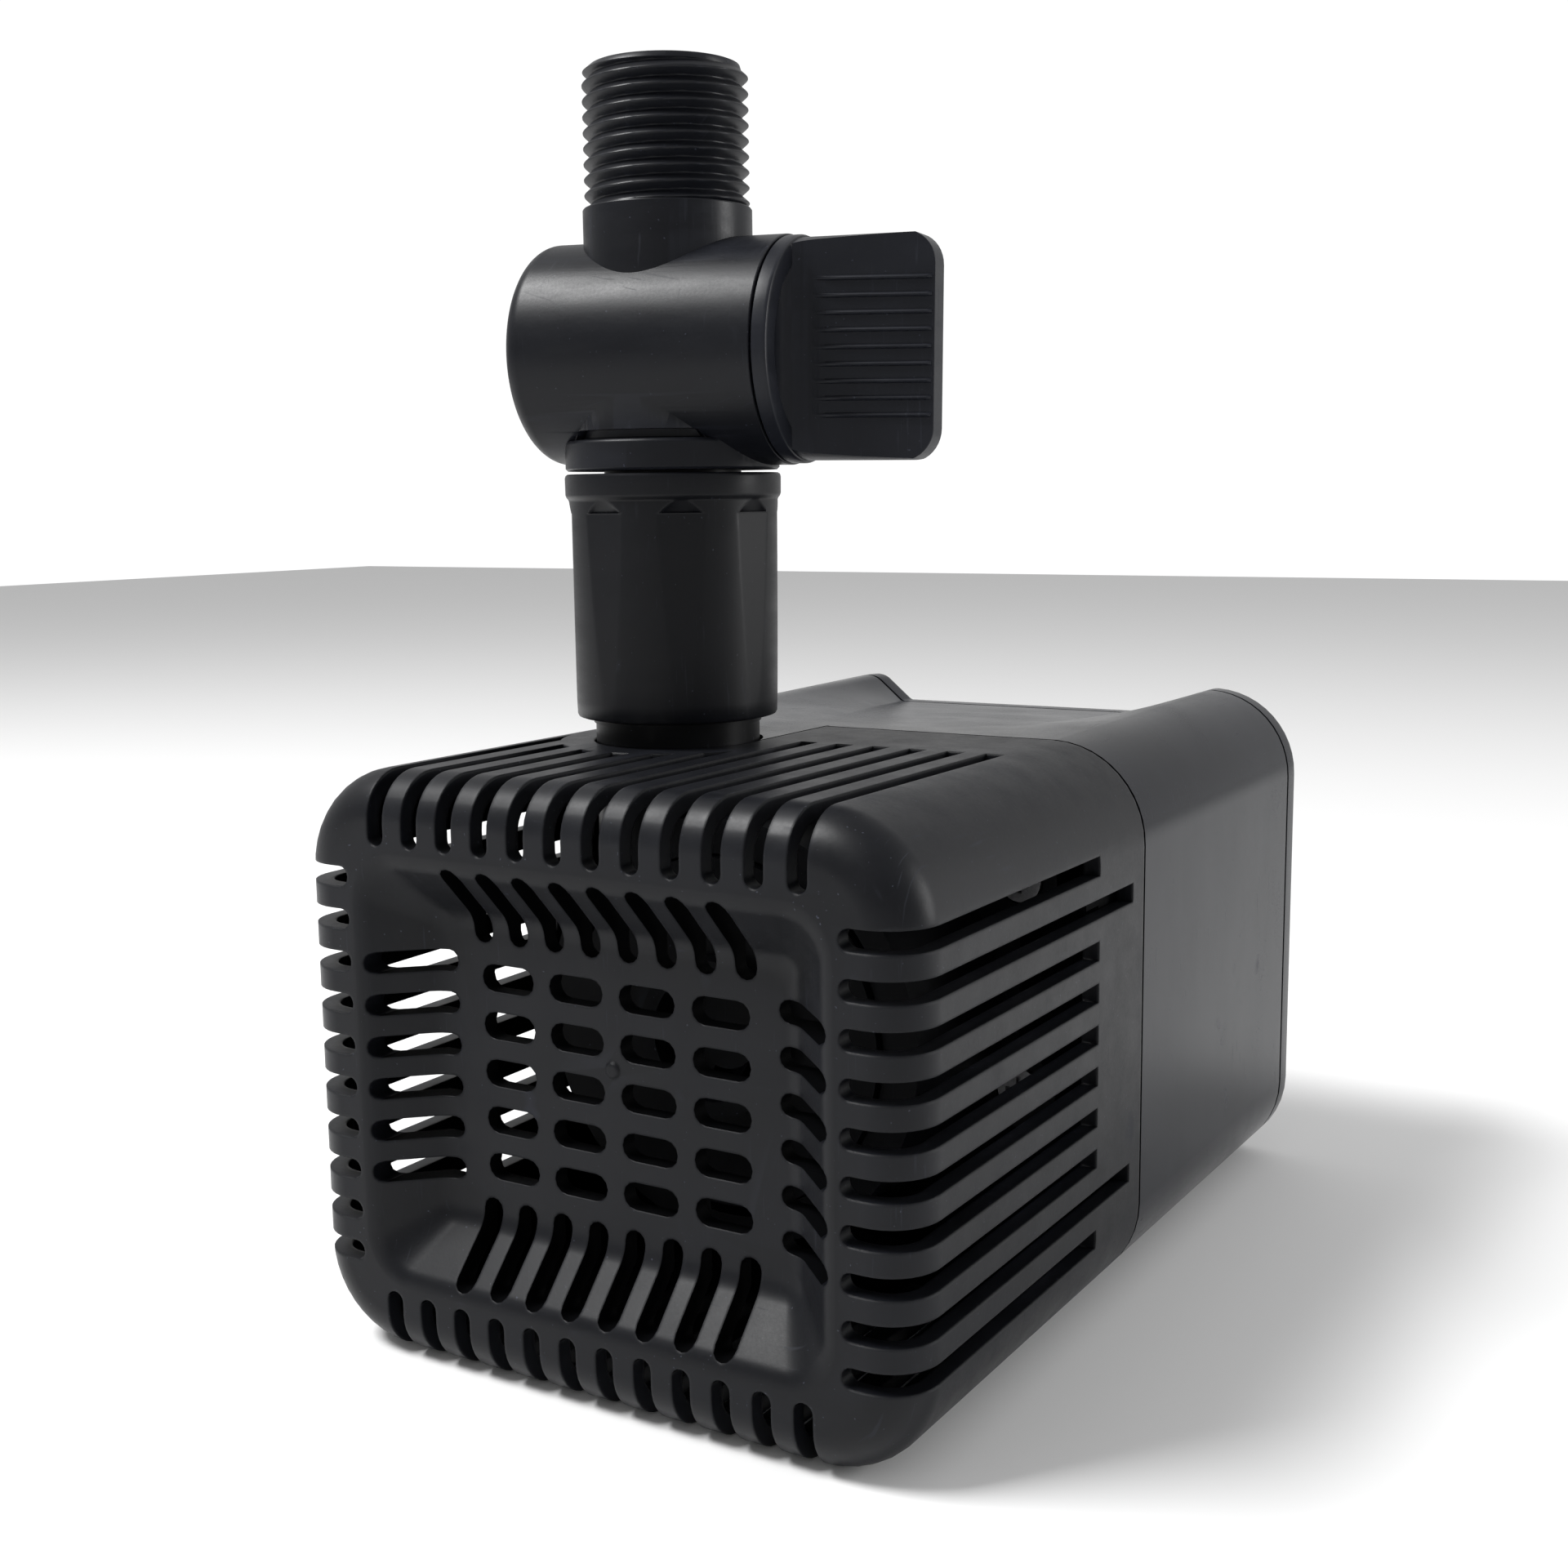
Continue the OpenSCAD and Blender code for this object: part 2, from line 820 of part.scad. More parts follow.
module union_nut() {
  rim_z = nut_z1 - 2.9;
  color(black_plastic)
    translate([riser_x, front + riser_y, 0])
      difference() {
        rotate_extrude()
          polygon([[notch_half, nut_z0], [nut_low_r - 0.95, nut_z0], [nut_low_r, nut_z0 + 1.3],
            [nut_high_r, rim_z - 0.4], [nut_rim_r, rim_z], [nut_rim_r, nut_z1 - 0.3],
            [nut_rim_r - 0.3, nut_z1], [nut_mouth, nut_z1], [nut_mouth, rim_z + 0.1],
            [notch_half, rim_z + 0.1]]);
        for (i = [0 : nut_flats - 1])
          rotate(i * 360 / nut_flats + nut_turn)
            translate([nut_flat, -nut_low_r / 2, nut_z0 - 1])
              cube([nut_rim_r, nut_low_r, rim_z - nut_z0 + 0.3]);
      }
}

module union_seal() {
  color(rubber_grey)
    translate([riser_x, front + riser_y, seat_z + 0.05])
      difference() {
        cylinder(r = neck_r - 0.5, h = 1.65);
        translate([0, 0, -1])
          cylinder(r = neck_bore + 0.6, h = 4);
      }
}

module thread_rings(z_top) {
  for (i = [0 : thread_crests - 1])
    translate([0, 0, z_top - 0.85 - i * thread_pitch])
      rotate_extrude()
        polygon([[bore_r + 1, -0.85], [9.55, -0.85], [thread_r, -0.2], [thread_r, 0.2],
          [9.55, 0.85], [bore_r + 1, 0.85]]);
}

module barrel_place() {
  translate([riser_x, front + riser_y, barrel_z])
    rotate([0, barrel_droop, barrel_turn])
      children();
}

// The barrel outline, closed and rounded at the left end.
module barrel_solid() {
  rotate([0, 90, 0])
    translate([0, 0, barrel_back])
      rotate_extrude() {
        square([barrel_r - end_round, end_round]);
        translate([0, end_round])
          square([barrel_r, barrel_end - barrel_back - end_round]);
        translate([barrel_r - end_round, end_round])
          circle(r = end_round);
      }
}

module valve_body() {
  tail_r = neck_r - 0.5;
  waist_r = 8.85;
  waist_z = nut_z1 - 3.15;
  flange_z = nut_z1 + 0.4;
  color(black_plastic)
    difference() {
      union() {
        translate([riser_x, front + riser_y, 0]) {
          rotate_extrude()
            polygon([[0, seat_z + 2], [tail_r, seat_z + 2], [tail_r, waist_z],
              [waist_r, waist_z], [waist_r, flange_z], [13.5, flange_z],
              [13.8, flange_z + 0.3], [13.8, flange_z + 3.2], [13.3, flange_z + 3.8],
              [0, flange_z + 3.8]]);
          translate([0, 0, flange_z + 1])
            cylinder(r = 12.2, h = barrel_z - flange_z - 3);
          translate([0, 0, barrel_z])
            cylinder(r = 10.74, h = saddle_top - barrel_z);
          translate([0, 0, barrel_z])
            cylinder(r = 9.6, h = riser_top - barrel_z);
          thread_rings(riser_top);
        }
        barrel_place()
          barrel_solid();
      }
      translate([riser_x, front + riser_y, seat_z])
        cylinder(r = plug_passage, h = riser_top - seat_z);
      translate([riser_x, front + riser_y, outlet_z])
        cylinder(r = bore_r, h = riser_top - outlet_z + 1);
      barrel_place()
        rotate([0, 90, 0])
          translate([0, 0, barrel_back + 2.6])
            cylinder(r = plug_bore, h = 60);
    }
}

// The paddle outline seen from the front, rounded at its free corners.
module paddle_outline() {
  r = paddle_corner;
  x0 = barrel_end + knob_gap + 0.5;
  translate([x0, -paddle_half])
    square([paddle_end - r - x0, 2 * paddle_half]);
  translate([x0, -paddle_half + r])
    square([paddle_end - x0, 2 * (paddle_half - r)]);
  for (s = [-1, 1])
    translate([paddle_end - r, s * (paddle_half - r)])
      circle(r = r);
}

// The paddle seen from above: a wedge, thick at the disc and thin at the free end.
module paddle_plan() {
  x0 = barrel_end + knob_gap + 0.5;
  x1 = barrel_end + knob_gap + disc_t;
  polygon([[x0, -paddle_root - 2.4], [x1, -paddle_root - 1.4], [x1 + 1.5, -paddle_root],
    [paddle_end, -paddle_tip], [paddle_end, paddle_tip], [x1 + 1.5, paddle_root],
    [x1, paddle_root + 1.4], [x0, paddle_root + 2.4]]);
}

module valve_knob() {
  disc_x = barrel_end + knob_gap;
  ridge_x0 = disc_x + disc_t + 1.5;
  ridge_x1 = paddle_end - 1.7;
  ridge_lean = atan((paddle_root - paddle_tip) / (paddle_end - ridge_x0));
  color(black_plastic)
    difference() {
      barrel_place()
        difference() {
          union() {
            rotate([0, 90, 0])
              translate([0, 0, barrel_back + 2.95])
                cylinder(r = plug_r, h = disc_x - barrel_back - 2);
            difference() {
              rotate([0, 90, 0])
                translate([0, 0, disc_x])
                  rotate_extrude()
                    polygon([[0, 0], [disc_r, 0], [disc_r, disc_t - 0.4],
                      [disc_r - 0.4, disc_t], [0, disc_t]]);
              rotate([0, 90, 0])
                translate([0, 0, disc_x + disc_t - disc_dish])
                  cylinder(r = disc_dish_r, h = disc_dish + 1);
            }
            intersection() {
              translate([0, paddle_root * 3, 0])
                rotate([90, 0, 0])
                  linear_extrude(paddle_root * 6)
                    paddle_outline();
              translate([0, 0, -barrel_r])
                linear_extrude(2 * barrel_r)
                  paddle_plan();
            }
            for (s = [-1, 1])
              for (i = [0 : ridge_count - 1])
                translate([ridge_x0, s * paddle_root, (i - (ridge_count - 1) / 2) * ridge_pitch])
                  rotate([0, 0, -s * ridge_lean])
                    translate([0, -ridge_h, -0.25])
                      cube([ridge_x1 - ridge_x0, 2 * ridge_h, 0.5]);
          }
          for (x = seal_spots)
            rotate([0, 90, 0])
              translate([0, 0, x])
                difference() {
                  cylinder(r = plug_r + 1, h = 1.8);
                  translate([0, 0, -1])
                    cylinder(r = plug_r - 1.25, h = 4);
                }
        }
      translate([riser_x, front + riser_y, barrel_z - 40])
        cylinder(r = plug_passage, h = 80);
    }
}

module valve_seals() {
  color(rubber_grey)
    barrel_place()
      for (x = seal_spots)
        rotate([0, 90, 0])
          translate([0, 0, x + 0.9])
            rotate_extrude()
              translate([plug_r - 0.55, 0])
                circle(r = 0.55);
}

front_cage();
rear_housing();
back_plate();
pump_head();
impeller_cover();
cover_seal();
impeller();
rotor_magnet();
rotor_shaft();
front_bush();
rear_bush();
rotor_can();
stator_core();
left_bobbin();
right_bobbin();
left_coil();
right_coil();
potting_block();
cable_gland();
head_screws();
union_nut();
union_seal();
valve_body();
valve_knob();
valve_seals();
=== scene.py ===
import math
import bmesh
import bpy
from mathutils import Matrix, Vector


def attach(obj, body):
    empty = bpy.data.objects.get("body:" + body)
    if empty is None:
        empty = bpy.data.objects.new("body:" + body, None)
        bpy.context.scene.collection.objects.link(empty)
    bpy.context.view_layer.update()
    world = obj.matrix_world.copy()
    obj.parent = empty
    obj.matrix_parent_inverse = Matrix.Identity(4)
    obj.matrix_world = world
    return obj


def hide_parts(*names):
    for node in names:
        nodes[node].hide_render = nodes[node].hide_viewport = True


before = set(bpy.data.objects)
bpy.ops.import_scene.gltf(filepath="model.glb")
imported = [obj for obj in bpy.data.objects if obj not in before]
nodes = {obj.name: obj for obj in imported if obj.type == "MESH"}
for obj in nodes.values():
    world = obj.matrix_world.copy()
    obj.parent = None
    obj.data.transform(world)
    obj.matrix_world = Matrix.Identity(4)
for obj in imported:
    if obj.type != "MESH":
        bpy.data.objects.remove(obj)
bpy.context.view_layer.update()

# Every size below is in millimetres, in the CAD frame: X across, Y from front to back, Z up.
MM = 0.001
FRONT = -63.25
BODY_W, BODY_H = 85.0, 72.7
MID_Z = BODY_H / 2
CAGE_END = 62.45
SEAM = 62.9
HOUSING_END = 122.05
PLATE_START = 122.65
BODY_LEN = 126.5
EDGE_R = 12.75
FRONT_R = 5.9
CAGE_WALL = 2.2
SLOT_W = 2.45
SIDE_PITCH, SIDE_SLOTS = 5.22, 10
TOP_PITCH, TOP_SLOTS = 5.28, 12
WRAP = 7.5
DISH_W, DISH_H, DISH_DEPTH, DISH_SLOPE = 64.0, 51.4, 6.6, 7.0
BEVEL_SLOT = 9.2
HUMP_H, VALLEY_H = 73.6, 69.4
RISER_X, RISER_Y = -15.0, 42.8
RISER = Vector((RISER_X, FRONT + RISER_Y, 0))
NECK_R = 10.75
BARREL_Z = 122.35
BARREL_TURN, BARREL_DROOP = 8.7, 0.8    # degrees
BORE_R, BORE_Z, PASSAGE_R = 7.4, 136.5, 7.2
OUTLET_TOP = 157.6
LATCH_ROWS = (1, SIDE_SLOTS - 2)
TO_FRONT = Vector((0, FRONT, 0))


# ---- mesh helpers ----

def new_object(name, verts, faces):
    """Object from points and faces, with its faces turned outwards."""
    mesh = bpy.data.meshes.new(name)
    mesh.from_pydata([tuple(v) for v in verts], [], faces)
    obj = bpy.data.objects.new(name, mesh)
    bpy.context.scene.collection.objects.link(obj)
    bm = bmesh.new()
    bm.from_mesh(mesh)
    bmesh.ops.recalc_face_normals(bm, faces=bm.faces)
    bm.to_mesh(mesh)
    bm.free()
    return obj


def loft(name, rings):
    """Skin over rings of equally many points, capped at both ends."""
    n = len(rings[0])
    verts = [p for ring in rings for p in ring]
    faces = []
    for i in range(len(rings) - 1):
        k = i + 1
        for j in range(n):
            m = (j + 1) % n
            faces.append([i * n + j, i * n + m, k * n + m, k * n + j])
    faces.append(list(range(n)))
    faces.append(list(range(len(verts) - n, len(verts))))
    return new_object(name, verts, faces)


def joined(name, objs):
    """One object out of several that don't touch each other."""
    bm = bmesh.new()
    for o in objs:
        bm.from_mesh(o.data)
        bpy.data.objects.remove(o)
    mesh = bpy.data.meshes.new(name)
    bm.to_mesh(mesh)
    bm.free()
    obj = bpy.data.objects.new(name, mesh)
    bpy.context.scene.collection.objects.link(obj)
    return obj


def applied(obj):
    """Turns the object's modifiers into mesh."""
    bpy.context.view_layer.update()
    mesh = bpy.data.meshes.new_from_object(obj.evaluated_get(bpy.context.evaluated_depsgraph_get()))
    obj.modifiers.clear()
    obj.data = mesh
    return obj


def combine(obj, tool, how="DIFFERENCE"):
    """Cuts the tool from the object, or adds it, and removes the tool."""
    mod = obj.modifiers.new("combine", "BOOLEAN")
    mod.operation = how
    mod.solver = "MANIFOLD"
    mod.object = tool
    applied(obj)
    bpy.data.objects.remove(tool)
    return obj


def tidy(obj, gap=0.003):
    """Merges points that lie on each other and drops faces without area."""
    bm = bmesh.new()
    bm.from_mesh(obj.data)
    bmesh.ops.remove_doubles(bm, verts=bm.verts, dist=gap)
    bmesh.ops.dissolve_degenerate(bm, edges=bm.edges, dist=gap)
    bm.to_mesh(obj.data)
    bm.free()


def round_edges(obj, width, segments=2, angle=32):
    """Rounds the edges sharper than angle, as far as the neighbouring edges leave room."""
    mod = obj.modifiers.new("edges", "BEVEL")
    mod.width = width
    mod.segments = segments
    mod.limit_method = "ANGLE"
    mod.angle_limit = math.radians(angle)
    mod.use_clamp_overlap = True
    mod.miter_outer = "MITER_ARC"
    mod.harden_normals = False


def mark_sharp(obj, angle):
    """Keeps a hard line wherever two faces meet at more than angle degrees."""
    bm = bmesh.new()
    bm.from_mesh(obj.data)
    for e in bm.edges:
        if len(e.link_faces) == 2 and e.calc_face_angle(0) > math.radians(angle):
            e.smooth = False
    bm.to_mesh(obj.data)
    bm.free()


def shade_joint(obj, material, start, *ends):
    """Paints shade: puts the near-black painted-shade material on what is tucked in before depth
    start, apart from the body's top, and on the flat faces at the depths in ends, where two
    mouldings meet."""
    obj.data.materials.append(material)
    for face in obj.data.polygons:
        depth = face.center.y / MM - FRONT
        on_top = face.normal.z > 0.5 and face.center.z / MM > BODY_H - 0.1
        flat_end = abs(face.normal.y) > 0.99 and any(abs(depth - y) < 0.05 for y in ends)
        if flat_end or (depth < start + 0.05 and not on_top):
            face.material_index = len(obj.data.materials) - 1


def piece(obj, name, node, body, material, shift, edge=0.25, angle=32, segments=2):
    """Finishes a piece: real size and place, smooth shading, softened edges, material and body."""
    tidy(obj)
    obj.data.transform(Matrix.Scale(MM, 4) @ Matrix.Translation(shift))
    obj.name = name
    obj.data.name = name
    obj.data.materials.clear()
    obj.data.materials.append(material)
    obj.data.shade_smooth()
    if edge:
        round_edges(obj, edge * MM, segments, angle)
    else:
        mark_sharp(obj, angle)
    weighted = obj.modifiers.new("normals", "WEIGHTED_NORMAL")
    weighted.keep_sharp = not edge
    weighted.weight = 60
    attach(obj, body)
    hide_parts(node)
    return obj


# ---- outlines ----

def arc(cx, cy, r, start, end, steps):
    """Points on an arc, angles in degrees."""
    turn = [math.radians(start + (end - start) * i / steps) for i in range(steps + 1)]
    return [(cx + r * math.cos(a), cy + r * math.sin(a)) for a in turn]


def bend(a, b, c, steps):
    """Points on a curve from a to c that leaves and arrives towards b."""
    out = []
    for i in range(steps + 1):
        t = i / steps
        u = 1 - t
        out.append(tuple(u * u * p + 2 * u * t * q + t * t * s for p, q, s in zip(a, b, c)))
    return out


def round_rect(half_w, half_h, r, cx=0.0, cy=0.0, steps=8):
    out = []
    for k, (sx, sy) in enumerate(((1, 1), (-1, 1), (-1, -1), (1, -1))):
        out += arc(cx + sx * (half_w - r), cy + sy * (half_h - r), r, 90 * k, 90 * k + 90, steps)
    return out


def across(points, y):
    """A flat outline in X and Z, put at depth y."""
    return [(p[0], y, p[1]) for p in points]


def bar_y(name, outline, y0, y1):
    return loft(name, [across(outline, y0), across(outline, y1)])


def box(name, x0, x1, y0, y1, z0, z1):
    ring = [(x0, z0), (x1, z0), (x1, z1), (x0, z1)]
    return bar_y(name, ring, y0, y1)


def slot_outline(length, width, cx, cz, upright=False, steps=6):
    half = (length - width) / 2
    pts = arc(half, 0, width / 2, -90, 90, steps) + arc(-half, 0, width / 2, 90, 270, steps)
    if upright:
        pts = [(-z, x) for x, z in pts]
    return [(cx + x, cz + z) for x, z in pts]


def spun(name, profile, steps=96):
    """Profile of (radius, height) turned about Z. Ends on the axis close by themselves."""
    rings = []
    for i in range(steps):
        a = 2 * math.pi * i / steps
        rings.append([(r * math.cos(a), r * math.sin(a), z) for r, z in profile])
    n = len(profile)
    verts = [p for ring in rings for p in ring]
    faces = []
    for i in range(steps):
        k = (i + 1) % steps
        for j in range(n - 1):
            m = j + 1
            faces.append([i * n + j, k * n + j, k * n + m, i * n + m])
    if profile[0][0] > 0:
        faces.append([i * n for i in range(steps)])
    if profile[-1][0] > 0:
        faces.append([i * n + n - 1 for i in range(steps)])
    obj = new_object(name, verts, faces)
    tidy(obj, 0.0005)
    return obj


def rod(name, r, z0, z1, steps=96):
    return spun(name, [(r, z0), (r, z1)], steps)


def rod_y(name, r, y0, y1, cx, cz, steps=48):
    return bar_y(name, arc(cx, cz, r, 0, 360 * (1 - 1 / steps), steps - 1), y0, y1)


# ---- strainer cage ----

def soft_block(name, half_w, z0, z1, r, front_r, y0, y1, steps=8):
    """Block with rounded long edges and a rounded front rim."""
    rings = []
    half_h = (z1 - z0) / 2
    for i in range(steps + 1):
        a = math.radians(90 * i / steps)
        inset = front_r * (1 - math.sin(a))
        outline = round_rect(half_w - inset, half_h - inset, r - inset, 0, (z0 + z1) / 2, 10)
        rings.append(across(outline, y0 + front_r * (1 - math.cos(a))))
    rings.append(across(round_rect(half_w, half_h, r, 0, (z0 + z1) / 2, 10), y1))
    return loft(name, rings)


def dish_cutter():
    """The dished front: a soft rim, sloping walls with rounded corners, a flat panel."""
    lean = math.atan(DISH_DEPTH / DISH_SLOPE)
    rim_r, foot_r, first = 3.4, 4.2, math.radians(5)
    rim_t = rim_r * math.tan(lean / 2)
    foot_t = foot_r * math.tan(lean / 2)
    profile = []
    for i in range(7):
        a = first + (lean - first) * i / 6
        profile.append((rim_r * math.sin(a) - rim_t, rim_r * (1 - math.cos(a))))
    out = 6.0
    profile.insert(0, (profile[0][0] - out * math.cos(first),
                       profile[0][1] - out * math.sin(first)))
    for i in range(6):
        a = lean * (1 - i / 5)
        profile.append((DISH_SLOPE + foot_t - foot_r * math.sin(a),
                        DISH_DEPTH - foot_r * (1 - math.cos(a))))
    rings = []
    for inset, y in profile:
        r = 5.2 - 3.2 * min(max(inset, 0) / DISH_SLOPE, 1)
        rings.append(across(round_rect(DISH_W / 2 - inset, DISH_H / 2 - inset,
                                       r + max(-inset, 0), 0, MID_Z, 8), y))
    return loft("dish", rings)


def wrap_slot(name, rear, place):
    """One wall slot, round the front edge and back along the wall. place turns its own frame
    (in from the wall, along the wall, depth) into body points."""
    h = SLOT_W / 2
    thin = -CAGE_WALL - 0.6
    head = [(2.0, -h), (thin, -h)] + [(-WRAP + x, z) for x, z in arc(0, 0, h, 270, 90, 8)] + \
        [(thin, h), (2.0, h)]
    n = len(head)
    verts = [place(a, b, -1) for a, b in head] + [place(a, b, 8) for a, b in head]
    rear_ids = {}
    for j in (0, 1, n - 2, n - 1):
        rear_ids[j] = len(verts)
        verts.append(place(head[j][0], head[j][1], rear))
    faces = [list(range(n))]
    for j in range(n):
        m = (j + 1) % n
        faces.append([j, m, n + m, n + j])
    faces.append([n + j for j in range(1, n - 1)])
    loop = [0, 1, n - 2, n - 1]
    for q in range(4):
        j, m = loop[q], loop[(q + 1) % 4]
        faces.append([n + j, n + m, rear_ids[m], rear_ids[j]])
    faces.append([rear_ids[j] for j in loop])
    return new_object(name, verts, faces)


def row_z(i):
    """Height of side slot i, counted from the top."""
    return MID_Z + ((SIDE_SLOTS - 1) / 2 - i) * SIDE_PITCH


def row_x(i):
    """Place of top or bottom slot i, counted from the left."""
    return (i - (TOP_SLOTS - 1) / 2) * TOP_PITCH


def wall_slots():
    half_w = BODY_W / 2
    side_end, long_end, top_end = 48.0, 58.8, 47.0
    side_cuts, top_cuts, low_cuts = [], [], []
    for side in (-1, 1):
        for i in range(SIDE_SLOTS):
            z = row_z(i)
            rear = long_end if i in LATCH_ROWS else side_end
            side_cuts.append(wrap_slot("slot", rear,
                lambda a, b, y, s=side, z=z: (s * (half_w + a), y, z + b)))
    for i in range(TOP_SLOTS):
        x = row_x(i)
        top_cuts.append(wrap_slot("slot", top_end, lambda a, b, y, x=x: (x + b, y, BODY_H + a)))
        low_cuts.append(wrap_slot("slot", top_end, lambda a, b, y, x=x: (x + b, y, -a)))
    tops = joined("tops", top_cuts)
    keep = rod("keep", 15.5, 40, 90)
    keep.data.transform(Matrix.Translation(RISER - TO_FRONT))
    combine(tops, keep)
    return joined("sides", side_cuts), tops, joined("lows", low_cuts)


def grille():
    """All openings of the dish: short ones in the panel, leaning ones in the sloped walls."""
    back = DISH_DEPTH + CAGE_WALL + 1.5
    columns, rows = 4, 5
    column_pitch, row_pitch = 10.03, 5.84
    hole_w, hole_h = 7.7, 3.3
    cuts = []
    for c in range(columns):
        for r in range(rows):
            x = (c - (columns - 1) / 2) * column_pitch
            z = MID_Z + (r - (rows - 1) / 2) * row_pitch
            cuts.append(bar_y("hole", slot_outline(hole_w, hole_h, x, z), -1, back))
    slope_x = DISH_W / 2 - BEVEL_SLOT / 2
    slope_z = DISH_H / 2 - BEVEL_SLOT / 2
    for side in (-1, 1):
        for i in range(2, SIDE_SLOTS - 2):
            outline = slot_outline(BEVEL_SLOT + 0.3, SLOT_W + 0.2, side * slope_x, row_z(i))
            cuts.append(bar_y("hole", outline, -1, back))
        for i in range(2, TOP_SLOTS - 2):
            outline = slot_outline(BEVEL_SLOT + 0.7, SLOT_W + 0.35, row_x(i),
                                   MID_Z + side * (slope_z - 0.3), True)
            cuts.append(bar_y("hole", outline, -1, back))
    return joined("grille", cuts)


def front_cage():
    """The cage: a soft shell with the dish, the slots, the notch for the neck and a gate mark."""
    half_w = BODY_W / 2
    cage = soft_block("cage", half_w, 0, BODY_H, EDGE_R, FRONT_R, 0, CAGE_END, 9)
    hollow = soft_block("hollow", half_w - CAGE_WALL, CAGE_WALL, BODY_H - CAGE_WALL,
                        EDGE_R - CAGE_WALL, FRONT_R - CAGE_WALL, CAGE_WALL, CAGE_END + 2)
    wall_back = loft("wall_back", [
        across(round_rect(DISH_W / 2 + 2.6, DISH_H / 2 + 2.6, 7.0, 0, MID_Z), 1.2),
        across(round_rect(DISH_W / 2 - 5.4, DISH_H / 2 - 5.4, 3.0, 0, MID_Z),
               DISH_DEPTH + CAGE_WALL)])
    combine(hollow, wall_back)
    combine(cage, hollow)
    combine(cage, dish_cutter())
    for cuts in wall_slots():
        combine(cage, cuts)
    combine(cage, grille())
    notch_r = NECK_R + 0.35
    outline = [(RISER_X + notch_r, RISER_Y + 40), (RISER_X - notch_r, RISER_Y + 40)]
    outline += arc(RISER_X, RISER_Y, notch_r, 180, 360, 32)
    notch = loft("notch", [[(x, y, z) for x, y in outline] for z in (BODY_H - 12, BODY_H + 1)])
    combine(cage, notch)
    gate = spun("gate", [(1.0, 0), (0.97, 0.2), (0.8, 0.36), (0.35, 0.42), (0, 0.34)], 24)
    gate.data.transform(Matrix.Translation((0, DISH_DEPTH + 0.1, MID_Z + 2.9)) @
                        Matrix.Rotation(math.radians(90), 4, "X"))
    combine(cage, gate, "UNION")
    return cage


# ---- motor housing and back plate ----

def housing_outline(t):
    """Outline of the housing at part t of its length: two humps with a valley between them."""
    top = BODY_H + (HUMP_H - BODY_H) * t
    floor_z = BODY_H - (BODY_H - VALLEY_H) * t
    foot_x = 8.3 + 15.6 * t
    ridge_x, soft, foot = 29.0, 1.3, 0.5
    cx = BODY_W / 2 - EDGE_R
    half = [(0, 0), (10, 0), (20, 0)]
    half += arc(cx, EDGE_R, EDGE_R, -90, 0, 10)
    last = 90 - math.degrees(math.asin((ridge_x + soft - cx) / EDGE_R))
    half += arc(cx, top - EDGE_R, EDGE_R, 0, last, 12)
    slope = Vector((foot_x - ridge_x, floor_z - top))
    run = slope.length
    way = slope / run
    ridge = Vector((ridge_x, top))
    low = Vector((foot_x, floor_z))
    half += bend(half[-1], tuple(ridge), tuple(ridge + way * soft), 6)[1:]
    half += [tuple(ridge + way * (soft + (run - soft - foot) * k / 4)) for k in range(1, 4)]
    half += bend(tuple(low - way * foot), tuple(low), (foot_x - foot, floor_z), 4)
    half += [(foot_x * k / 3 - foot * k / 3, floor_z) for k in (2, 1, 0)]
    return half + [(-x, z) for x, z in half[-2:0:-1]]


def inset_outline(points, d):
    """The outline moved inwards by d."""
    out = []
    n = len(points)
    for i in range(n):
        a, b = Vector(points[i - 1]), Vector(points[(i + 1) % n])
        way = (b - a).normalized()
        out.append((points[i][0] - way.y * d, points[i][1] + way.x * d))
    return out


def cavity_outline(g):
    """Inside of the housing, moved in by g."""
    inset = 2.8 + g
    top = VALLEY_H - 2.4 - g
    return round_rect(BODY_W / 2 - inset, (top - inset) / 2, EDGE_R - inset, 0, (top + inset) / 2)


